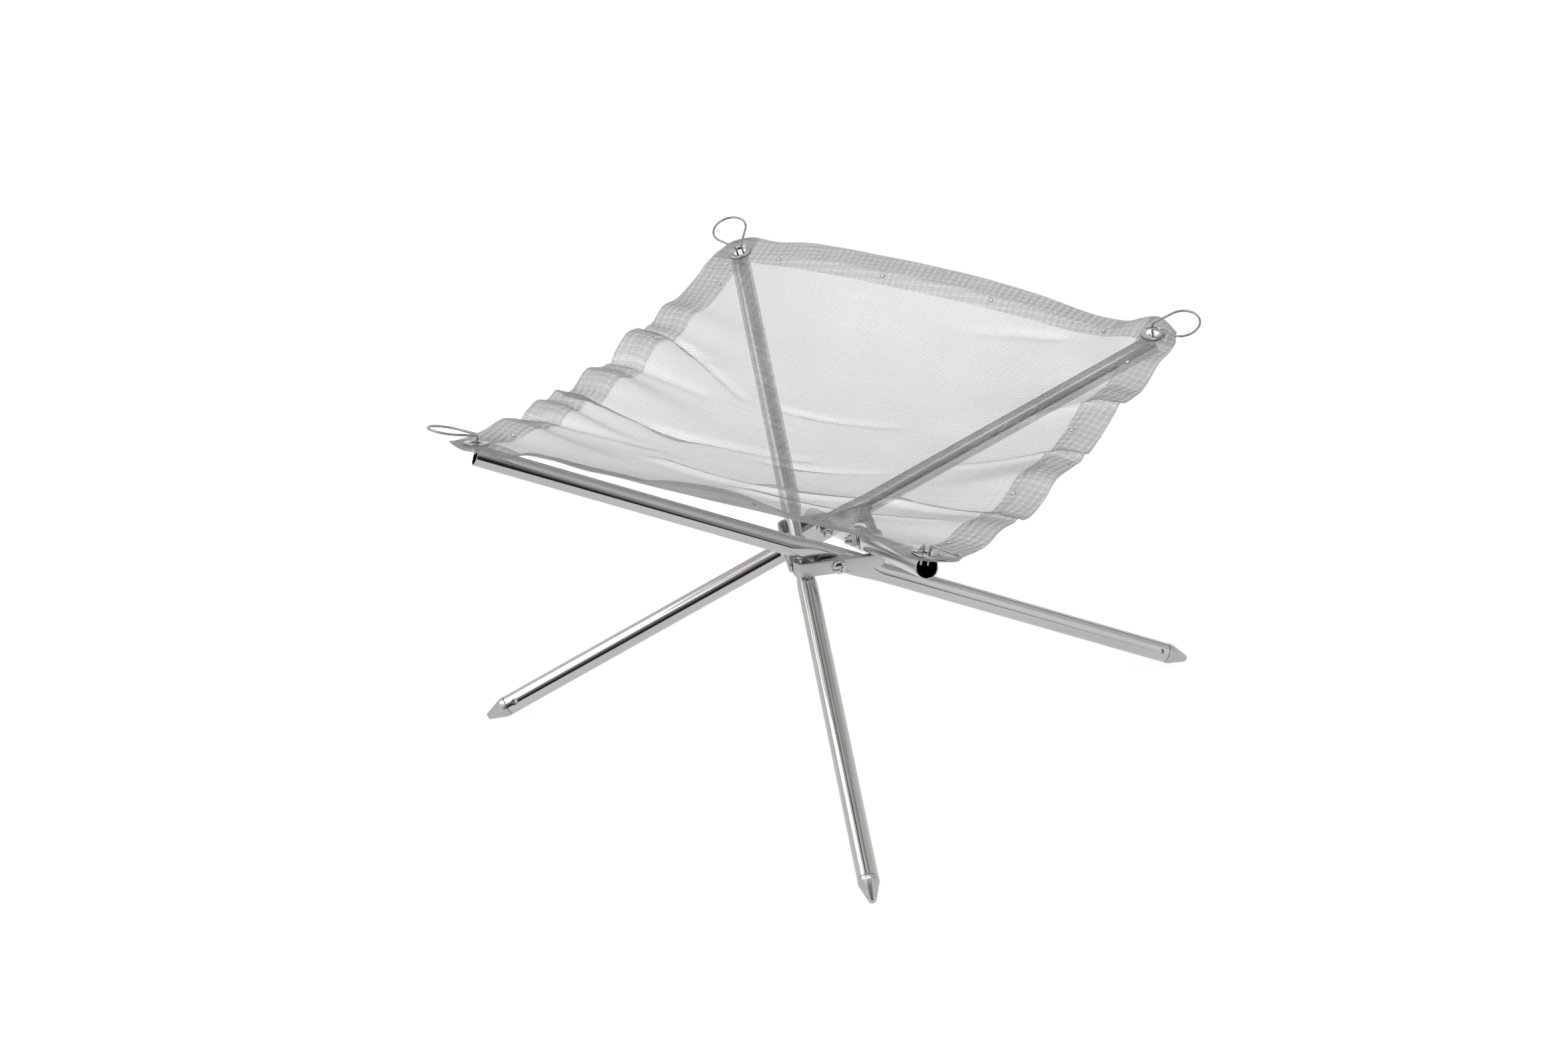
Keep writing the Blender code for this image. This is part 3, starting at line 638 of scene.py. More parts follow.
def repeat_tree():
    """Geometry Nodes that set one shape on every point, turned as the point's frame says."""
    tree = bpy.data.node_groups.new("set_on_points", "GeometryNodeTree")
    inputs = (("Geometry", "Geometry"), ("Shape", "Object"), ("Finish", "Material"), ("Size", "Float"))
    for name, kind in inputs:
        tree.interface.new_socket(name, in_out="INPUT", socket_type=f"NodeSocket{kind}")
    tree.interface.new_socket("Geometry", in_out="OUTPUT", socket_type="NodeSocketGeometry")
    start = tree.nodes.new("NodeGroupInput")
    end = tree.nodes.new("NodeGroupOutput")
    shape = tree.nodes.new("GeometryNodeObjectInfo")
    turn = tree.nodes.new("GeometryNodeInputNamedAttribute")
    turn.data_type = "FLOAT_VECTOR"
    turn.inputs["Name"].default_value = "turn"
    rotation = tree.nodes.new("FunctionNodeEulerToRotation")
    on_points = tree.nodes.new("GeometryNodeInstanceOnPoints")
    realize = tree.nodes.new("GeometryNodeRealizeInstances")
    finish = tree.nodes.new("GeometryNodeSetMaterial")
    links = (
        (start, "Shape", shape, "Object"),
        (start, "Geometry", on_points, "Points"),
        (shape, "Geometry", on_points, "Instance"),
        (turn, "Attribute", rotation, 0),
        (rotation, 0, on_points, "Rotation"),
        (start, "Size", on_points, "Scale"),
        (on_points, "Instances", realize, "Geometry"),
        (realize, "Geometry", finish, "Geometry"),
        (start, "Finish", finish, "Material"),
        (finish, "Geometry", end, "Geometry"),
    )
    for giver, output, taker, socket in links:
        tree.links.new(giver.outputs[output], taker.inputs[socket])
    return tree


REPEAT = repeat_tree()


def set_on_frames(name, mesh, frames, finish, sharp_degrees=32.0):
    """One plain piece that holds a copy of the mesh in each frame."""
    points = bpy.data.meshes.new(name)
    points.from_pydata([matrix.translation for matrix in frames], [], [])
    turns = points.attributes.new("turn", "FLOAT_VECTOR", "POINT")
    for place, matrix in zip(turns.data, frames):
        place.vector = matrix.to_euler()
    holder = linked(name, points)
    shape = linked(f"{name}_shape", mesh)
    modifier = holder.modifiers.new("Copies", "NODES")
    modifier.node_group = REPEAT
    values = {"Shape": shape, "Finish": finish, "Size": 1.0}
    for item in REPEAT.interface.items_tree:
        if item.name in values:
            modifier[item.identifier] = values[item.name]
    made = shade_round(plain_mesh(holder, shape), sharp_degrees)
    return piece_of(name, made, Matrix.Identity(4), finish)


def satin_bar():
    """Rolled and tumbled flat bar: satin, with small stains and scuffs."""
    nodes = new_finish("satin_bar")
    place = nodes.add("ShaderNodeTexCoord", output="Object")
    cloud = nodes.grain(place, 90.0, 6.0)
    fine = nodes.grain(place, 1400.0, 2.0)
    colour = nodes.mix(nodes.ramp(cloud, 0.56, 0.70) * BAR_WORN_SHARE, BAR_COLOUR, BAR_COLOUR_WORN)
    smooth, from_cloud, from_fine = BAR_ROUGHNESS
    return coat(nodes, colour, smooth + cloud * from_cloud + fine * from_fine, fine + cloud, *BAR_BUMP)


stations = [station_frame(corner) for corner in CORNERS]
brackets = set_on_frames("bent_brackets", bar_mesh("bent_bracket"), stations, satin_bar(), 30.0)
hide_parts(*(f"hub_bracket_{corner}" for corner in CORNERS))
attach(brackets, "hub")

# Pivot screws, washers and lock nuts: zinc plated, a pan head with a cross recess outside and
# a nut with a locking collar inside, where the thread's end shows.
SCREW_RADIUS = 0.003
THREAD_PITCH = 0.001
THREAD_DEPTH = 0.0003
HEAD_FACE = 0.0129
HEAD_RADIUS = 0.00575
HEAD_HEIGHT = 0.0035
CROSS_LENGTH = 0.0058
CROSS_WIDTH = 0.0012
CROSS_DEPTH = 0.0016
WASHER_FACE = 0.0038
WASHER_THICKNESS = 0.001
WASHER_RADIUS = 0.008
SPACER_FACE = 0.0065
SPACER_THICKNESS = 0.0015
SPACER_RADIUS = 0.00625
BORE_RADIUS = 0.0033
NUT_FACE = 0.0051
NUT_ACROSS_FLATS = 0.010
NUT_HEX_HEIGHT = 0.0045
NUT_COLLAR_HEIGHT = 0.0015
NUT_COLLAR_RADIUS = 0.0044
SCREW_END = 0.0143
HEAD_DOME = 0.72
HEAD_EDGE = 0.0002
THREAD_CREST = 0.05
CROSS_TURN = 25.0
RING_EDGE = 0.00015
NUT_CHAMFER = 0.0009
NUT_COLLAR_EDGE = 0.0005
CUT_MARGIN = 0.0001
ZINC_COLOUR = (0.70, 0.70, 0.69, 1.0)
ZINC_COLOUR_DARK = (0.48, 0.48, 0.49, 1.0)


def pan_head():
    """Profile of the head from its middle out, over its dome and down to its face."""
    top = HEAD_FACE + HEAD_HEIGHT
    dome = []
    for step in range(9):
        angle = math.pi / 2 * step / 8
        drop = HEAD_HEIGHT * HEAD_DOME * (1 - math.cos(angle))
        dome.append((HEAD_RADIUS * math.sin(angle), top - drop))
    return dome + [(HEAD_RADIUS, HEAD_FACE + HEAD_EDGE), (HEAD_RADIUS - HEAD_EDGE, HEAD_FACE)]


def thread(start, end):
    """Rising and falling profile of a thread from one height down to another."""
    profile = []
    for index in range(int((start - end) / THREAD_PITCH)):
        height = start - index * THREAD_PITCH
        profile.append((SCREW_RADIUS - THREAD_DEPTH, height))
        profile.append((SCREW_RADIUS, height - THREAD_PITCH * (0.5 - THREAD_CREST)))
        profile.append((SCREW_RADIUS, height - THREAD_PITCH * (0.5 + THREAD_CREST)))
    return profile


def cut(mesh, cutters):
    """Cut each mesh out of the first one, and give the result."""
    made = linked("cut", mesh)
    helpers = [linked("cutter", cutter) for cutter in cutters]
    for helper in helpers:
        boolean = made.modifiers.new("Cut", "BOOLEAN")
        boolean.solver = "EXACT"
        boolean.object = helper
    return plain_mesh(made, *helpers)


def screw_mesh():
    """Head, shank and thread in one turned shape, with a cross recess cut into the head."""
    chamfer = 2 * THREAD_DEPTH
    profile = pan_head() + [(SCREW_RADIUS, HEAD_FACE), (SCREW_RADIUS, -NUT_FACE)]
    profile += thread(-NUT_FACE, -SCREW_END + chamfer)
    profile += [(SCREW_RADIUS - chamfer, -SCREW_END), (0.0, -SCREW_END)]
    top = Matrix.Translation((0.0, 0.0, HEAD_FACE + HEAD_HEIGHT))
    size = Matrix.Diagonal((CROSS_LENGTH, CROSS_WIDTH, 2 * CROSS_DEPTH, 1.0))
    bars = []
    for degrees in (CROSS_TURN, CROSS_TURN + 90.0):
        shape = bmesh.new()
        turn = Matrix.Rotation(math.radians(degrees), 4, "Z")
        bmesh.ops.create_cube(shape, size=1.0, matrix=top @ turn @ size)
        bars.append(mesh_of("cross", shape))
    return cut(lathe("pan_screw", profile, 48), bars)


def flat_ring(name, outer, low, thickness):
    """A washer on its screw, with broken outer edges."""
    high = low + thickness
    profile = [
        (BORE_RADIUS, high),
        (outer - RING_EDGE, high),
        (outer, high - RING_EDGE),
        (outer, low + RING_EDGE),
        (outer - RING_EDGE, low),
        (BORE_RADIUS, low),
    ]
    return lathe(name, profile, 64, True)


def joined(name, meshes):
    """The meshes in one."""
    shape = bmesh.new()
    for mesh in meshes:
        shape.from_mesh(mesh)
    return mesh_of(name, shape)


def nut_mesh():
    """Hexagon with turned-down corners, its locking collar, and the bore."""
    corner = NUT_ACROSS_FLATS / 2 / math.cos(math.pi / 6)
    shape = bmesh.new()
    middle = Matrix.Translation((0.0, 0.0, NUT_HEX_HEIGHT / 2))
    sizes = {"radius1": corner, "radius2": corner, "depth": NUT_HEX_HEIGHT}
    bmesh.ops.create_cone(shape, cap_ends=True, segments=6, matrix=middle, **sizes)
    hexagon = mesh_of("hexagon", shape)
    sleeve = [
        (corner - NUT_CHAMFER * 1.6, NUT_HEX_HEIGHT + CUT_MARGIN),
        (corner + 10 * CUT_MARGIN, NUT_HEX_HEIGHT + CUT_MARGIN),
        (corner + 10 * CUT_MARGIN, -CUT_MARGIN),
        (corner - NUT_CHAMFER, -CUT_MARGIN),
        (corner + 3 * CUT_MARGIN, NUT_CHAMFER * 0.5),
        (corner + 3 * CUT_MARGIN, NUT_HEX_HEIGHT - NUT_CHAMFER * 0.8),
    ]
    bore = [(0.0, 0.02), (BORE_RADIUS, 0.02), (BORE_RADIUS, -0.02), (0.0, -0.02)]
    body = cut(hexagon, [lathe("corner_cutter", sleeve, 60, True), lathe("bore", bore, 32)])
    top = NUT_HEX_HEIGHT + NUT_COLLAR_HEIGHT
    collar = [
        (SCREW_RADIUS + CUT_MARGIN, top - NUT_COLLAR_EDGE / 2),
        (SCREW_RADIUS + NUT_COLLAR_EDGE, top),
        (NUT_COLLAR_RADIUS - NUT_COLLAR_EDGE, top),
        (NUT_COLLAR_RADIUS, top - NUT_COLLAR_EDGE),
        (NUT_COLLAR_RADIUS, NUT_HEX_HEIGHT),
        (SCREW_RADIUS + CUT_MARGIN, NUT_HEX_HEIGHT),
    ]
    return joined("lock_nut", (body, lathe("collar", collar, 48, True)))


ZINC_FINISH = turned_steel("zinc_plate", ZINC_COLOUR, ZINC_COLOUR_DARK, 1500.0, 0.10, 0.12)
toward_head = Matrix.Rotation(math.pi / 2, 4, "X")
toward_nut = Matrix.Rotation(-math.pi / 2, 4, "X")
spacer = flat_ring("spacer", SPACER_RADIUS, SPACER_FACE, SPACER_THICKNESS)
washer = flat_ring("washer", WASHER_RADIUS, WASHER_FACE, WASHER_THICKNESS)
hardware = (
    ("pan_screws", screw_mesh(), toward_head, "pivot_screw"),
    ("spacer_rings", spacer, toward_head, "spacer_washer"),
    ("nut_rings", washer, toward_nut, "nut_washer"),
    ("collar_nuts", nut_mesh(), toward_nut @ Matrix.Translation((0.0, 0.0, NUT_FACE)), "lock_nut"),
)
for name, mesh, seat, node in hardware:
    group = set_on_frames(name, mesh, [station @ seat for station in stations], ZINC_FINISH)
    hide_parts(*(f"{node}_{corner}" for corner in CORNERS))
    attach(group, "hub")

# Mesh sheet: one square of plain woven stainless wire, hung by its corners. Its middle sags, its
# side edges hang in ripples, its back edge bows up, and its front hem stands up and draws in.
SIDE_SAG = 0.026
CENTRE_SAG = 0.033
SHEET_PAST_EYELET = 0.0205
EYELET_SEAT_SLOPES = (0.0850, -0.3186)
EYELET_FLAT = 0.0105
EYELET_FLAT_REACH = 0.028
SIDE_RIPPLE_FROM = 0.30
SIDE_RIPPLE_REACH = 0.75
SIDE_RIPPLE_POWER = 1.4
HEM_WIDTH = 0.030
FRONT_HEM_PULL = 0.010
FRONT_PULL_FADE = 0.30
SWAY = 0.0016
SWAY_SCALE = 26.0
SWAY_FROM = 0.16
SWAY_REACH = 0.05
CREASE_FADE = 0.015
CLOTH_LEVEL = 0.0004
CLOTH_THICKNESS = 0.00006
EYELET_HOLE = 0.0075
CLOTH_CELLS = 208
WIRE_PITCH = 0.00115
WIRE_SHARE = 0.225
WIRE_UNEVEN = 1.3
WIRE_RISE = 0.4
WIRE_METALLIC = 0.85
WIRE_ROUGHNESS = (0.34, 0.18)
WIRE_BUMP = (0.30, 0.0002)
# Share of painted shade and highlight from the wires' height: crowns painted lighter, dips painted darker
PAINTED_SHADE_FROM_WIRE_HEIGHT = 0.50
LIGHT_FROM_CLOUD = 0.44
LIGHT_FROM_STREAKS = 0.9
WIRE_COLOUR = (0.92, 0.915, 0.91, 1.0)
WIRE_COLOUR_DARK = (0.42, 0.415, 0.41, 1.0)

# Where the rise of the front and back edges starts, as a share of the way to the eyelets, and
# its power
FRONT_RISE = (0.93, 1.15)
BACK_RISE = (0.50, 1.8)

# Small wrinkles: height in metres, scale across and from front to back, and slice of the noise
LONG_WRINKLE = (0.0009, 9.0, 38.0, 0.3)
SHORT_WRINKLE = (0.0011, 16.0, 21.0, 4.1)

# Heights of the four edges over the eyelets, in metres, at shares of the way from the middle
# to an eyelet: the side edges from front to back, the end edges from left to right.
LEFT_EDGE = (
    (-1.11, 0.002), (-0.82, -0.0105), (-0.68, -0.0125), (-0.60, -0.0192), (-0.53, -0.0206),
    (-0.44, -0.0180), (-0.37, -0.0235), (-0.30, -0.0210), (-0.20, -0.0298), (-0.07, -0.0220),
    (0.05, -0.0298), (0.22, -0.0165), (0.32, -0.0190), (0.42, -0.0232), (0.52, -0.0160),
    (0.63, -0.0182), (0.75, -0.0140), (0.90, -0.0050), (1.11, 0.0010),
)
RIGHT_EDGE = (
    (-1.11, 0.001), (-0.95, -0.0015), (-0.85, -0.0090), (-0.75, -0.0135), (-0.62, -0.0135),
    (-0.50, -0.0190), (-0.38, -0.0262), (-0.25, -0.0225), (-0.15, -0.0158), (0.0, -0.0205),
    (0.12, -0.0240), (0.28, -0.0180), (0.42, -0.0105), (0.55, -0.0130), (0.66, -0.0155),
    (0.80, -0.0065), (0.95, -0.0020), (1.11, -0.0020),
)
FRONT_EDGE = (
    (-1.11, 0.0), (-0.90, 0.0), (-0.80, 0.0015), (-0.756, 0.0055), (-0.70, 0.0098), (-0.64, 0.0113),
    (-0.55, 0.0090), (-0.42, 0.0075), (-0.28, 0.0085), (-0.168, 0.0110), (-0.064, 0.0150),
    (0.056, 0.0185), (0.20, 0.0195), (0.304, 0.0180), (0.444, 0.0130), (0.588, 0.0100),
    (0.70, 0.0090), (0.804, 0.0110), (0.95, 0.0125), (1.11, 0.0090),
)
BACK_EDGE = (
    (-1.11, 0.0), (-0.9, 0.0030), (-0.6, 0.0100), (-0.15, 0.0110), (0.15, 0.0075),
    (0.42, 0.0030), (0.68, -0.0045), (0.9, -0.0030), (1.11, 0.0),
)

# Each corner past its eyelet: the radius of its curl, up or down, and the share of its length
# that the gathered cloth keeps
CORNER_SIGNS = {"left": (-1, -1), "front": (1, -1), "right": (1, 1), "back": (-1, 1)}
CORNER_CURLS = {
    CORNER_SIGNS["left"]: (0.012, 0.45),
    CORNER_SIGNS["front"]: (0.020, 1.0),
    CORNER_SIGNS["right"]: (-0.014, 0.45),
    CORNER_SIGNS["back"]: (-0.060, 0.5),
}
CORNER_FLAT = 0.0115

# Creases: start, end, half width and height, in metres, across the sheet and from front to back
CREASES = (
    ((-0.205, 0.066), (-0.150, 0.062), 0.0036, -0.0040),
    ((-0.165, 0.063), (-0.105, 0.040), 0.0034, -0.0056),
    ((-0.205, 0.018), (-0.130, 0.022), 0.0040, -0.0040),
    ((-0.205, -0.047), (-0.110, -0.040), 0.0042, -0.0050),
    ((-0.120, -0.041), (-0.020, -0.016), 0.0040, -0.0044),
    ((-0.205, -0.105), (-0.120, -0.080), 0.0046, -0.0040),
    ((-0.080, -0.095), (0.005, -0.086), 0.0042, 0.0038),
    ((0.005, -0.086), (0.100, -0.068), 0.0042, 0.0042),
    ((0.100, -0.068), (0.205, -0.090), 0.0045, 0.0046),
    ((0.000, -0.104), (0.150, -0.112), 0.0040, 0.0034),
    ((-0.055, 0.042), (0.022, 0.051), 0.0030, -0.0036),
    ((-0.018, -0.030), (0.045, -0.014), 0.0030, -0.0036),
    ((0.205, 0.020), (0.120, 0.006), 0.0045, 0.0036),
    ((0.205, 0.082), (0.140, 0.070), 0.0045, 0.0032),
    ((0.110, 0.168), (0.060, 0.160), 0.0040, -0.0026),
)


def eyelet_middle(corner):
    low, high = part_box(f"eyelet_{corner}")
    return (low + high) / 2


def sheet_frame():
    """Frame of the sheet, in which the eyelets stand on the diagonals as CORNER_SIGNS says."""
    right = eyelet_middle("right")
    turn = math.atan2(right.y, right.x) - math.pi / 4
    return Matrix.Translation((0.0, 0.0, right.z)) @ Matrix.Rotation(turn, 4, "Z")


EYELET_HALF = eyelet_middle("right").xy.length / math.sqrt(2)
SHEET_HALF = EYELET_HALF + SHEET_PAST_EYELET
SHEET = sheet_frame()


def through(points, place):
    """Height on a smooth line through the points."""
    index = 0
    while index < len(points) - 2 and place > points[index + 1][0]:
        index += 1
    (x0, z0), (x1, z1) = points[index], points[index + 1]
    before = points[max(index - 1, 0)]
    after = points[min(index + 2, len(points) - 1)]
    span = x1 - x0
    lead_in = (z1 - before[1]) / (x1 - before[0]) * span
    lead_out = (after[1] - z0) / (after[0] - x0) * span
    t = min(max((place - x0) / span, 0.0), 1.0)
    square, cube = t * t, t * t * t
    return (
        (2 * cube - 3 * square + 1) * z0
        + (cube - 2 * square + t) * lead_in
        + (3 * square - 2 * cube) * z1
        + (cube - square) * lead_out
    )


def hanging(share):
    return max(1.0 - share * share, 0.0)


def creasing(x, y):
    """Height that the creases add at a place, fading along each one's inner half."""
    rise = 0.0
    for start, end, half_width, height in CREASES:
        line = Vector(end) - Vector(start)
        offset = Vector((x, y)) - Vector(start)
        along = offset.dot(line) / line.length_squared
        across = abs(offset.cross(line)) / line.length
        beyond = max(-along, along - 1.0, 0.0) * line.length
        near = math.exp(-((across / half_width) ** 2) - (beyond / CREASE_FADE) ** 2)
        rise += height * near * (1.0 - 0.5 * ease(along))
    return rise


def wrinkle(x, y, height, across, along, slice_at):
    return height * noise.noise(Vector((x * across, y * along, slice_at)))


def drape(x, y):
    """Height of the sheet over its eyelets, in metres."""
    a = x / EYELET_HALF
    d = y / EYELET_HALF
    sag = -SIDE_SAG * hanging(d) - CENTRE_SAG * hanging(a) * hanging(d)
    side = through(LEFT_EDGE if a < 0 else RIGHT_EDGE, d) + SIDE_SAG * hanging(d)
    side *= ease((abs(a) - SIDE_RIPPLE_FROM) / SIDE_RIPPLE_REACH) ** SIDE_RIPPLE_POWER
    end = through(FRONT_EDGE if d < 0 else BACK_EDGE, a)
    rise_from, power = FRONT_RISE if d < 0 else BACK_RISE
    end *= (max(abs(d) - rise_from, 0.0) / (SHEET_HALF / EYELET_HALF - rise_from)) ** power
    small = wrinkle(x, y, *LONG_WRINKLE) * hanging(0.9 * d) + wrinkle(x, y, *SHORT_WRINKLE)
    height = sag + side + end + small + creasing(x, y)
    in_from_side = EYELET_HALF - abs(x)
    in_from_end = EYELET_HALF - abs(y)
    across, along = EYELET_SEAT_SLOPES
    seat = across * in_from_side + along * in_from_end
    free = ease((math.hypot(in_from_side, in_from_end) - EYELET_FLAT) / EYELET_FLAT_REACH)
    return blend(seat, height, free)


def edge_sway(x, y):
    """How far the sheet's edge wanders in plan, in metres. The front hem stands up and draws in."""
    weight = SWAY * ease((max(abs(x), abs(y)) - SWAY_FROM) / SWAY_REACH)
    side = noise.noise(Vector((3.0, y * SWAY_SCALE, 0.0))) * weight
    end = noise.noise(Vector((x * SWAY_SCALE, 7.0, 0.0))) * weight
    if y < 0:
        upright = min(max(-y - SHEET_HALF + HEM_WIDTH, 0.0) / HEM_WIDTH, 1.0)
        end -= FRONT_HEM_PULL * upright * ease((1.0 - abs(x) / EYELET_HALF) / FRONT_PULL_FADE)
    return math.copysign(side, x), math.copysign(1.0, y) * end


def curled(x, y, z):
    """Rolls the tip of a corner up or down past its eyelet."""
    out = (abs(x) + abs(y) - 2 * EYELET_HALF) / math.sqrt(2) - CORNER_FLAT
    if out <= 0.0:
        return Vector((x, y, z))
    radius, gather = CORNER_CURLS[int(math.copysign(1, x)), int(math.copysign(1, y))]
    angle = out * gather / abs(radius)
    inward = (out - abs(radius) * math.sin(angle)) / math.sqrt(2)
    rise = radius * (1 - math.cos(angle))
    return Vector((x - math.copysign(inward, x), y - math.copysign(inward, y), z + rise))


def on_sheet(x, y, level):
    """Place in the sheet's frame of a point of the flat square, at a level over its middle."""
    sway_x, sway_y = edge_sway(x, y)
    return curled(x + sway_x, y + sway_y, drape(x, y) + level)


def cloth_patch(name, x_range, y_range, level, weave_turn=0.0, weave_shift=0.0):
    """A closed thin sheet over part of the square, at a level over or under its middle."""
    shape = bmesh.new()
    layer = shape.loops.layers.uv.new("weave")
    cell = 2 * SHEET_HALF / CLOTH_CELLS
    columns = max(2, round((x_range[1] - x_range[0]) / cell))
    rows = max(2, round((y_range[1] - y_range[0]) / cell))
    bmesh.ops.create_grid(shape, x_segments=columns, y_segments=rows, size=1.0)
    for vertex in shape.verts:
        vertex.co.x = blend(*x_range, (vertex.co.x + 1) / 2)
        vertex.co.y = blend(*y_range, (vertex.co.y + 1) / 2)
    gone = []
    for face in shape.faces:
        middle = face.calc_center_median()
        if math.hypot(abs(middle.x) - EYELET_HALF, abs(middle.y) - EYELET_HALF) < EYELET_HOLE:
            gone.append(face)
    bmesh.ops.delete(shape, geom=gone, context="FACES")
    cos, sin = math.cos(weave_turn), math.sin(weave_turn)
    for face in shape.faces:
        for loop in face.loops:
            x, y = loop.vert.co.xy
            loop[layer].uv = (cos * x - sin * y + weave_shift, sin * x + cos * y)
    for vertex in shape.verts:
        vertex.co = on_sheet(*vertex.co.xy, level)
    mesh = thickened(mesh_of(name, shape), CLOTH_THICKNESS)
    mesh.shade_smooth()
    return mesh


def woven_wire(name, tone):
    """Plain weave in its own map: uneven round wires over and under each other, open between, with painted
    shade where each wire dips under the crossing one and a painted highlight on its crown.
    """
    nodes = new_finish(name, WIRE_METALLIC)
    place = nodes.add("ShaderNodeUVMap", {"uv_map": "weave"})
    u = nodes.add("ShaderNodeSeparateXYZ", {}, {0: place}, 0) / WIRE_PITCH
    v = nodes.add("ShaderNodeSeparateXYZ", {}, {0: place}, 1) / WIRE_PITCH
    streaks = [nodes.grain(place, 1.0, 2.0, (330.0, 7.0, 1.0)) - 0.5]
    streaks.append(nodes.grain(place, 1.0, 2.0, (7.0, 330.0, 1.0)) - 0.5)
    halves, froms, heights = [], [], []
    for across, along, streak in ((u, v, streaks[0]), (v, u, streaks[1])):
        half = (streak * WIRE_UNEVEN + 1.0) * (WIRE_SHARE / 2)
        off = (across.maths("FRACT") - 0.5).maths("ABSOLUTE")
        crown = (1.0 - (off / half).maths("POWER", 2.0)).maths("MAXIMUM", 0.0)
        over = ((along - 0.5 + across.maths("FLOOR")) * math.pi).maths("COSINE")
        rise = WIRE_RISE if across is u else -WIRE_RISE
        halves.append(half)
        froms.append(off)
        heights.append(crown * (over * rise + (1.0 - WIRE_RISE)))
    height = heights[0].maths("MAXIMUM", heights[1])
    solid = (froms[0] < halves[0]).maths("MAXIMUM", froms[1] < halves[1])
    cloud = nodes.grain(place, 26.0, 3.0)
    # Painted shade and highlight: each wire's crown is painted lighter and its dips under the crossing
    # wires darker; the clouds and streaks add random tone.
    light = height * PAINTED_SHADE_FROM_WIRE_HEIGHT + cloud * LIGHT_FROM_CLOUD
    light = light + streaks[0] * LIGHT_FROM_STREAKS + streaks[1] * LIGHT_FROM_STREAKS
    nodes.fill(nodes.shader.inputs["Alpha"], solid)
    smooth, from_cloud = WIRE_ROUGHNESS
    colour = nodes.mix(light, WIRE_COLOUR_DARK, tone)
    return coat(nodes, colour, smooth + cloud * from_cloud, height, *WIRE_BUMP)


span = (-SHEET_HALF, SHEET_HALF)
cloth_mesh = cloth_patch("wire_cloth", span, span, CLOTH_LEVEL)
cloth = piece_of("wire_cloth", cloth_mesh, SHEET, woven_wire("woven_wire", WIRE_COLOUR))
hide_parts("mesh_sheet")
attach(cloth, "fire_sheet")

# Hem: the sheet's edges folded under by 30 mm and spot welded. The folded layer's weave doesn't
# line up with the sheet's, so the two make soft cloudy bands.
HEM_LEVELS = (0.0, -0.0004)
HEM_TURN = math.radians(12.0)
HEM_SHIFTS = (0.0004, 0.0007)
HEM_COLOUR = (0.86, 0.85, 0.84, 1.0)


def hem_mesh():
    """Two strips along the sides, and two under them along the front and back."""
    inner = SHEET_HALF - HEM_WIDTH
    strips = []
    for sign in (-1, 1):
        strip = (min(sign * inner, sign * SHEET_HALF), max(sign * inner, sign * SHEET_HALF))
        turn = sign * HEM_TURN
        strips.append(cloth_patch("side_hem", strip, span, HEM_LEVELS[0], turn, HEM_SHIFTS[0]))
        strips.append(cloth_patch("end_hem", span, strip, HEM_LEVELS[1], -turn, HEM_SHIFTS[1]))
    mesh = joined("folded_hem", strips)
    mesh.shade_smooth()
    return mesh


hem = piece_of("folded_hem", hem_mesh(), SHEET, woven_wire("hem_wire", HEM_COLOUR))
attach(hem, "fire_sheet")

# Fold: at the edge of the hem each wire of the sheet bends round in a small loop, and the loops
# show as a fine saw-tooth line.
LOOP_RADIUS = 0.00035
LOOP_WIRE_RADIUS = 0.00013
LOOP_STEPS = 4
LOOP_SIDES = 4
LOOP_INNER = 0.998
WIRE_DOME = ((0.5, 0.35), (0.3, 0.8), (0.0, 1.0))
FOLD_COLOUR = (0.50, 0.49, 0.48, 1.0)
FOLD_COLOUR_DARK = (0.30, 0.29, 0.28, 1.0)


def wire_mesh(name, path, radius, sides):
    """Round wire along a path, with domed ends and its length in its own map."""
    shape = bmesh.new()
    shape.loops.layers.uv.new("turned")
    side = (path[1] - path[0]).orthogonal().normalized()
    rows = []
    lengths = []
    run = 0.0
    for index, point in enumerate(path):
        ahead = path[min(index + 1, len(path) - 1)]
        behind = path[max(index - 1, 0)]
        along = (ahead - behind).normalized()
        side = (side - along * side.dot(along)).normalized()
        other = along.cross(side)
        run += (point - behind).length
        rings = WIRE_DOME[-1:]
        if index == 0:
            rings = [(-shift, size) for shift, size in WIRE_DOME]
        elif index == len(path) - 1:
            rings = WIRE_DOME[::-1]
        for shift, size in rings:
            middle = point + along * shift * radius

            def on_rim(angle):
                return middle + size * radius * (math.cos(angle) * side + math.sin(angle) * other)

            rows.append(points_round(shape, sides, on_rim))
            lengths.append(run + shift * radius)
    skin(shape, rows, list(zip(lengths, lengths[1:])))
    shape.faces.new(list(reversed(rows[0])))
    shape.faces.new(rows[-1])
    bmesh.ops.recalc_face_normals(shape, faces=shape.faces)
    return shade_round(mesh_of(name, shape), 60.0)


def fold_frames():
    """A frame for each loop, with +X off the edge and +Z off the sheet's upper face."""
    frames = []
    count = int(2 * SHEET_HALF / WIRE_PITCH)
    for index in range(count + 1):
        place = -SHEET_HALF + 2 * SHEET_HALF * index / count
        for sign in (-1, 1):
            edge = sign * SHEET_HALF
            inner = LOOP_INNER * edge
            sides = (
                (HEM_LEVELS[0], (edge, place), (inner, place), (0.0, sign, 0.0)),
                (HEM_LEVELS[1], (place, edge), (place, inner), (-sign, 0.0, 0.0)),
            )
            for level, at_edge, inside, along in sides:
                middle = (CLOTH_LEVEL + level) / 2
                point = on_sheet(*at_edge, middle)
                outward = (point - on_sheet(*inside, middle)).normalized()
                upward = outward.cross(Vector(along)).normalized()
                frames.append(SHEET @ frame_at(point, outward, upward.cross(outward), upward))
    return frames


def loop_path():
    arc = []
    for step in range(LOOP_STEPS + 1):
        angle = math.pi / 2 - math.pi * step / LOOP_STEPS
        arc.append(Vector((LOOP_RADIUS * math.cos(angle), 0.0, LOOP_RADIUS * math.sin(angle))))
    return arc


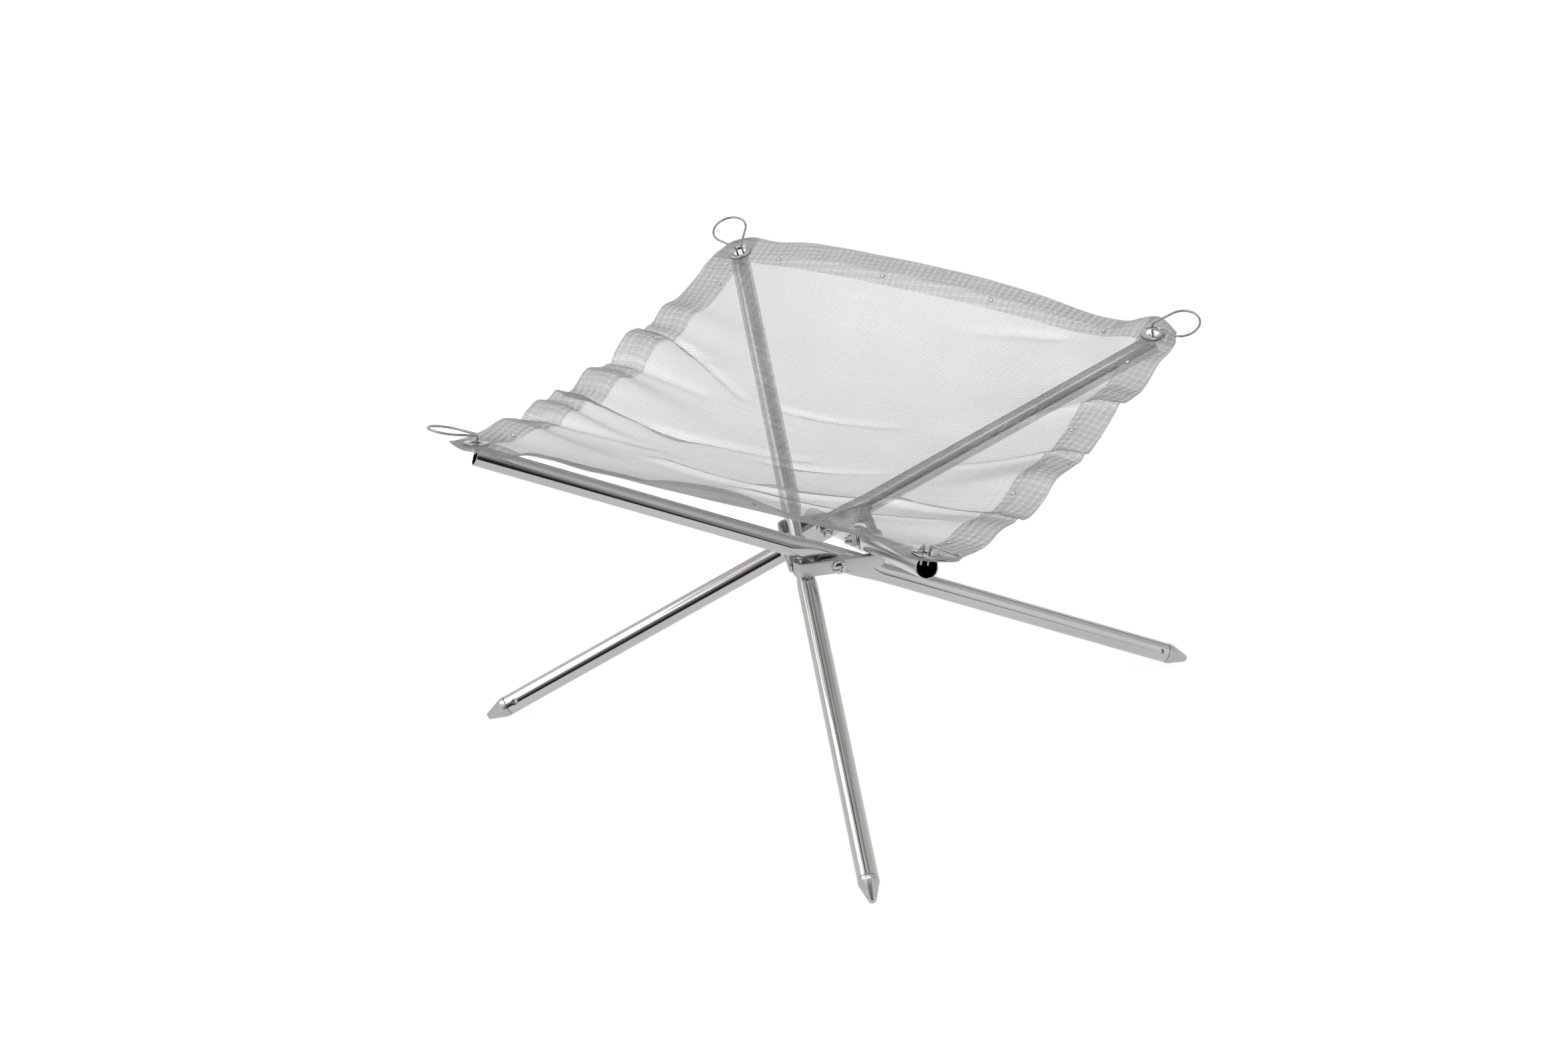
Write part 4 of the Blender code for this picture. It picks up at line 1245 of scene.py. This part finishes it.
fold = set_on_frames(
    "fold_loops",
    wire_mesh("fold_loop", loop_path(), LOOP_WIRE_RADIUS, LOOP_SIDES),
    fold_frames(),
    turned_steel("fold_wire", FOLD_COLOUR, FOLD_COLOUR_DARK, 300.0, 0.25, 0.10),
    60.0,
)
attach(fold, "fire_sheet")

# Spot welds: small bright buttons with a straw-brown rim, four along each side, that hold the
# folded hem down.
WELD_PLACES = (-0.148, -0.049, 0.049, 0.148)
WELD_FROM_EDGE = 0.024
WELD_RADIUS = 0.0015
WELD_HEIGHT = 0.0006
WELD_RIM_RADIUS = 0.0019
WELD_RIM_HEIGHT = 0.00015
WELD_COLOUR = (0.98, 0.97, 0.95, 1.0)
WELD_RIM_COLOUR = (0.33, 0.25, 0.20, 1.0)
WELD_METALLIC = 0.3
WELD_ROUGHNESS = (0.22, 0.2)


def standing_on(place, normal):
    """A frame at a place, with +Z along the normal."""
    return Matrix.Translation(place) @ normal.to_track_quat("Z", "Y").to_matrix().to_4x4()


def sheet_seat(x, y, lift):
    """Frame on the sheet at a place, with +Z off its surface."""
    step = 0.002
    across = on_sheet(x + step, y, CLOTH_LEVEL) - on_sheet(x - step, y, CLOTH_LEVEL)
    along = on_sheet(x, y + step, CLOTH_LEVEL) - on_sheet(x, y - step, CLOTH_LEVEL)
    normal = across.cross(along).normalized()
    return SHEET @ standing_on(on_sheet(x, y, CLOTH_LEVEL) + lift * normal, normal)


def weld_finish():
    """Bright in the middle, with the straw-brown tint of the heat round it."""
    nodes = new_finish("spot_weld", WELD_METALLIC)
    place = nodes.add("ShaderNodeUVMap", {"uv_map": "turned"})
    out = nodes.add("ShaderNodeSeparateXYZ", {}, {0: place}, 1)
    limits = {"Value": out, "From Min": WELD_RADIUS, "From Max": WELD_RADIUS * 1.1}
    rim = nodes.add("ShaderNodeMapRange", {}, limits)
    smooth, from_rim = WELD_ROUGHNESS
    return coat(nodes, nodes.mix(rim, WELD_COLOUR, WELD_RIM_COLOUR), smooth + rim * from_rim)


def button_profile():
    """Dome, flat rim, and the underside sunk into the cloth."""
    dome = []
    for step in range(9):
        angle = math.pi / 18 * step
        dome.append((WELD_RADIUS * math.sin(angle), WELD_HEIGHT * math.cos(angle)))
    low = -WELD_HEIGHT / 2
    rim = [(WELD_RADIUS, WELD_RIM_HEIGHT), (WELD_RIM_RADIUS, WELD_RIM_HEIGHT)]
    return dome + rim + [(WELD_RIM_RADIUS, low), (0.0, low)]


weld_line = SHEET_HALF - WELD_FROM_EDGE
seats = []
for place in WELD_PLACES:
    for sign in (-1, 1):
        seats.append(sheet_seat(place, sign * weld_line, CLOTH_THICKNESS / 2))
        seats.append(sheet_seat(sign * weld_line, place, CLOTH_THICKNESS / 2))
button = lathe("spot_weld", button_profile(), 18)
welds = set_on_frames("spot_welds", button, seats, weld_finish(), 60.0)
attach(welds, "fire_sheet")

# Eyelets: bright plated rings, rolled over at the throat, that grip all layers of the corner.
EYELET_RADIUS = 0.0095
EYELET_THROAT = 0.0052
EYELET_BARREL = 0.0008
EYELET_ROLL = 0.0011
EYELET_TOP = 0.0016
EYELET_GRIP = 0.0008
EYELET_RIM = 0.0005
EYELET_COLOUR = (0.90, 0.90, 0.89, 1.0)
EYELET_COLOUR_DARK = (0.34, 0.34, 0.35, 1.0)


def eyelet_profile():
    """Upper half, from the rolled throat over the flange to the barrel, and the same below."""
    upper = []
    for step in range(9):
        angle = math.pi / 2 * step / 8
        out = EYELET_THROAT + EYELET_ROLL * (1 - math.cos(angle))
        upper.append((out, EYELET_TOP - EYELET_ROLL * (1 - math.sin(angle))))
    upper += [
        (EYELET_RADIUS - EYELET_RIM, EYELET_TOP - 0.0001),
        (EYELET_RADIUS - EYELET_RIM / 3, EYELET_TOP - EYELET_RIM / 2),
        (EYELET_RADIUS, EYELET_GRIP + 0.0002),
        (EYELET_RADIUS, EYELET_GRIP),
        (EYELET_THROAT + EYELET_BARREL, EYELET_GRIP),
    ]
    return upper + [(radius, -height) for radius, height in reversed(upper)]


def eyelet_frame(corner):
    """Frame of an eyelet, with +Z along the normal of the sheet's tilted corner."""
    sign_x, sign_y = CORNER_SIGNS[corner]
    across, along = EYELET_SEAT_SLOPES
    normal = (SHEET.to_3x3() @ Vector((sign_x * across, sign_y * along, 1.0))).normalized()
    return standing_on(eyelet_middle(corner), normal)


EYELET_FINISH = turned_steel("bright_eyelet", EYELET_COLOUR, EYELET_COLOUR_DARK, 900.0, 0.06, 0.08)
eyelets = set_on_frames(
    "rolled_eyelets",
    lathe("rolled_eyelet", eyelet_profile(), 72, True),
    [eyelet_frame(corner) for corner in CORNERS],
    EYELET_FINISH,
    40.0,
)
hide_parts(*(f"eyelet_{corner}" for corner in CORNERS))
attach(eyelets, "fire_sheet")

# Ring clips: a ring of bright spring wire whose two ends turn down through the eyelet into the
# tube's mouth. Each one rocks on its own in its eyelet.
WIRE_RADIUS = 0.0009
CLIP_NECK = 0.005
CLIP_WIDTH = 0.030
CLIP_REACH = 0.038
CLIP_RISE = 0.007
CLIP_PRONG = 0.007
CLIP_BEND = 0.0025
CLIP_SIDES = 20
CLIP_STEPS = 60
CLIP_BEND_STEPS = 10
CLIP_COLOUR = (0.54, 0.54, 0.54, 1.0)
CLIP_COLOUR_DARK = (0.20, 0.20, 0.205, 1.0)


def rounded(points, radius, steps):
    """The path with an arc of the radius in each inner corner."""
    path = [points[0]]
    for before, corner, after in zip(points, points[1:], points[2:]):
        back = (before - corner).normalized()
        onward = (after - corner).normalized()
        half = back.angle(onward) / 2
        centre = corner + (back + onward).normalized() * radius / math.sin(half)
        start = (corner + back * radius / math.tan(half) - centre).normalized()
        end = (corner + onward * radius / math.tan(half) - centre).normalized()
        path += [centre + radius * start.slerp(end, step / steps) for step in range(steps + 1)]
    return path + [points[-1]]


def clip_path():
    """Prong, neck, ring, neck and prong. +X points off the corner, and Z runs up the neck."""
    neck = CLIP_NECK / 2
    ring = CLIP_WIDTH / 2 - WIRE_RADIUS
    centre = CLIP_REACH - WIRE_RADIUS - ring
    touch = math.pi - math.atan2(neck, centre) - math.acos(ring / math.hypot(centre, neck))
    arc = []
    for step in range(CLIP_STEPS + 1):
        angle = blend(touch, -touch, step / CLIP_STEPS)
        arc.append(Vector((centre + ring * math.cos(angle), ring * math.sin(angle), CLIP_RISE)))
    into = [Vector((0.0, neck, -CLIP_PRONG)), Vector((0.0, neck, CLIP_RISE)), arc[0]]
    out = [Vector((point.x, -point.y, point.z)) for point in reversed(into)]
    into = rounded(into, CLIP_BEND, CLIP_BEND_STEPS)
    out = rounded(out, CLIP_BEND, CLIP_BEND_STEPS)
    return into[:-1] + arc + out[1:]


def clip_frame(corner):
    """Frame of a clip at rest, from its hinge: the lower limit lays it in the sheet's plane."""
    joint = joint_facts(f"clip_swing_{corner}")
    swing = joint["range_deg"][0]
    normal = eyelet_frame(corner).to_3x3() @ Vector((0.0, 0.0, 1.0))
    across = -Vector(joint["axis"]).normalized()
    flat = frame_at(joint["pos_m"], across.cross(normal), across, normal)
    return flat @ Matrix.Rotation(math.radians(swing), 4, "Y")


CLIP_FINISH = turned_steel("spring_wire", CLIP_COLOUR, CLIP_COLOUR_DARK, 300.0, 0.05, 0.06)
for corner in CORNERS:
    wire = wire_mesh(f"wire_ring_{corner}", clip_path(), WIRE_RADIUS, CLIP_SIDES)
    clip = piece_of(f"wire_ring_{corner}", wire, clip_frame(corner), CLIP_FINISH)
    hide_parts(f"ring_clip_{corner}")
    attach(clip, f"clip_{corner}")
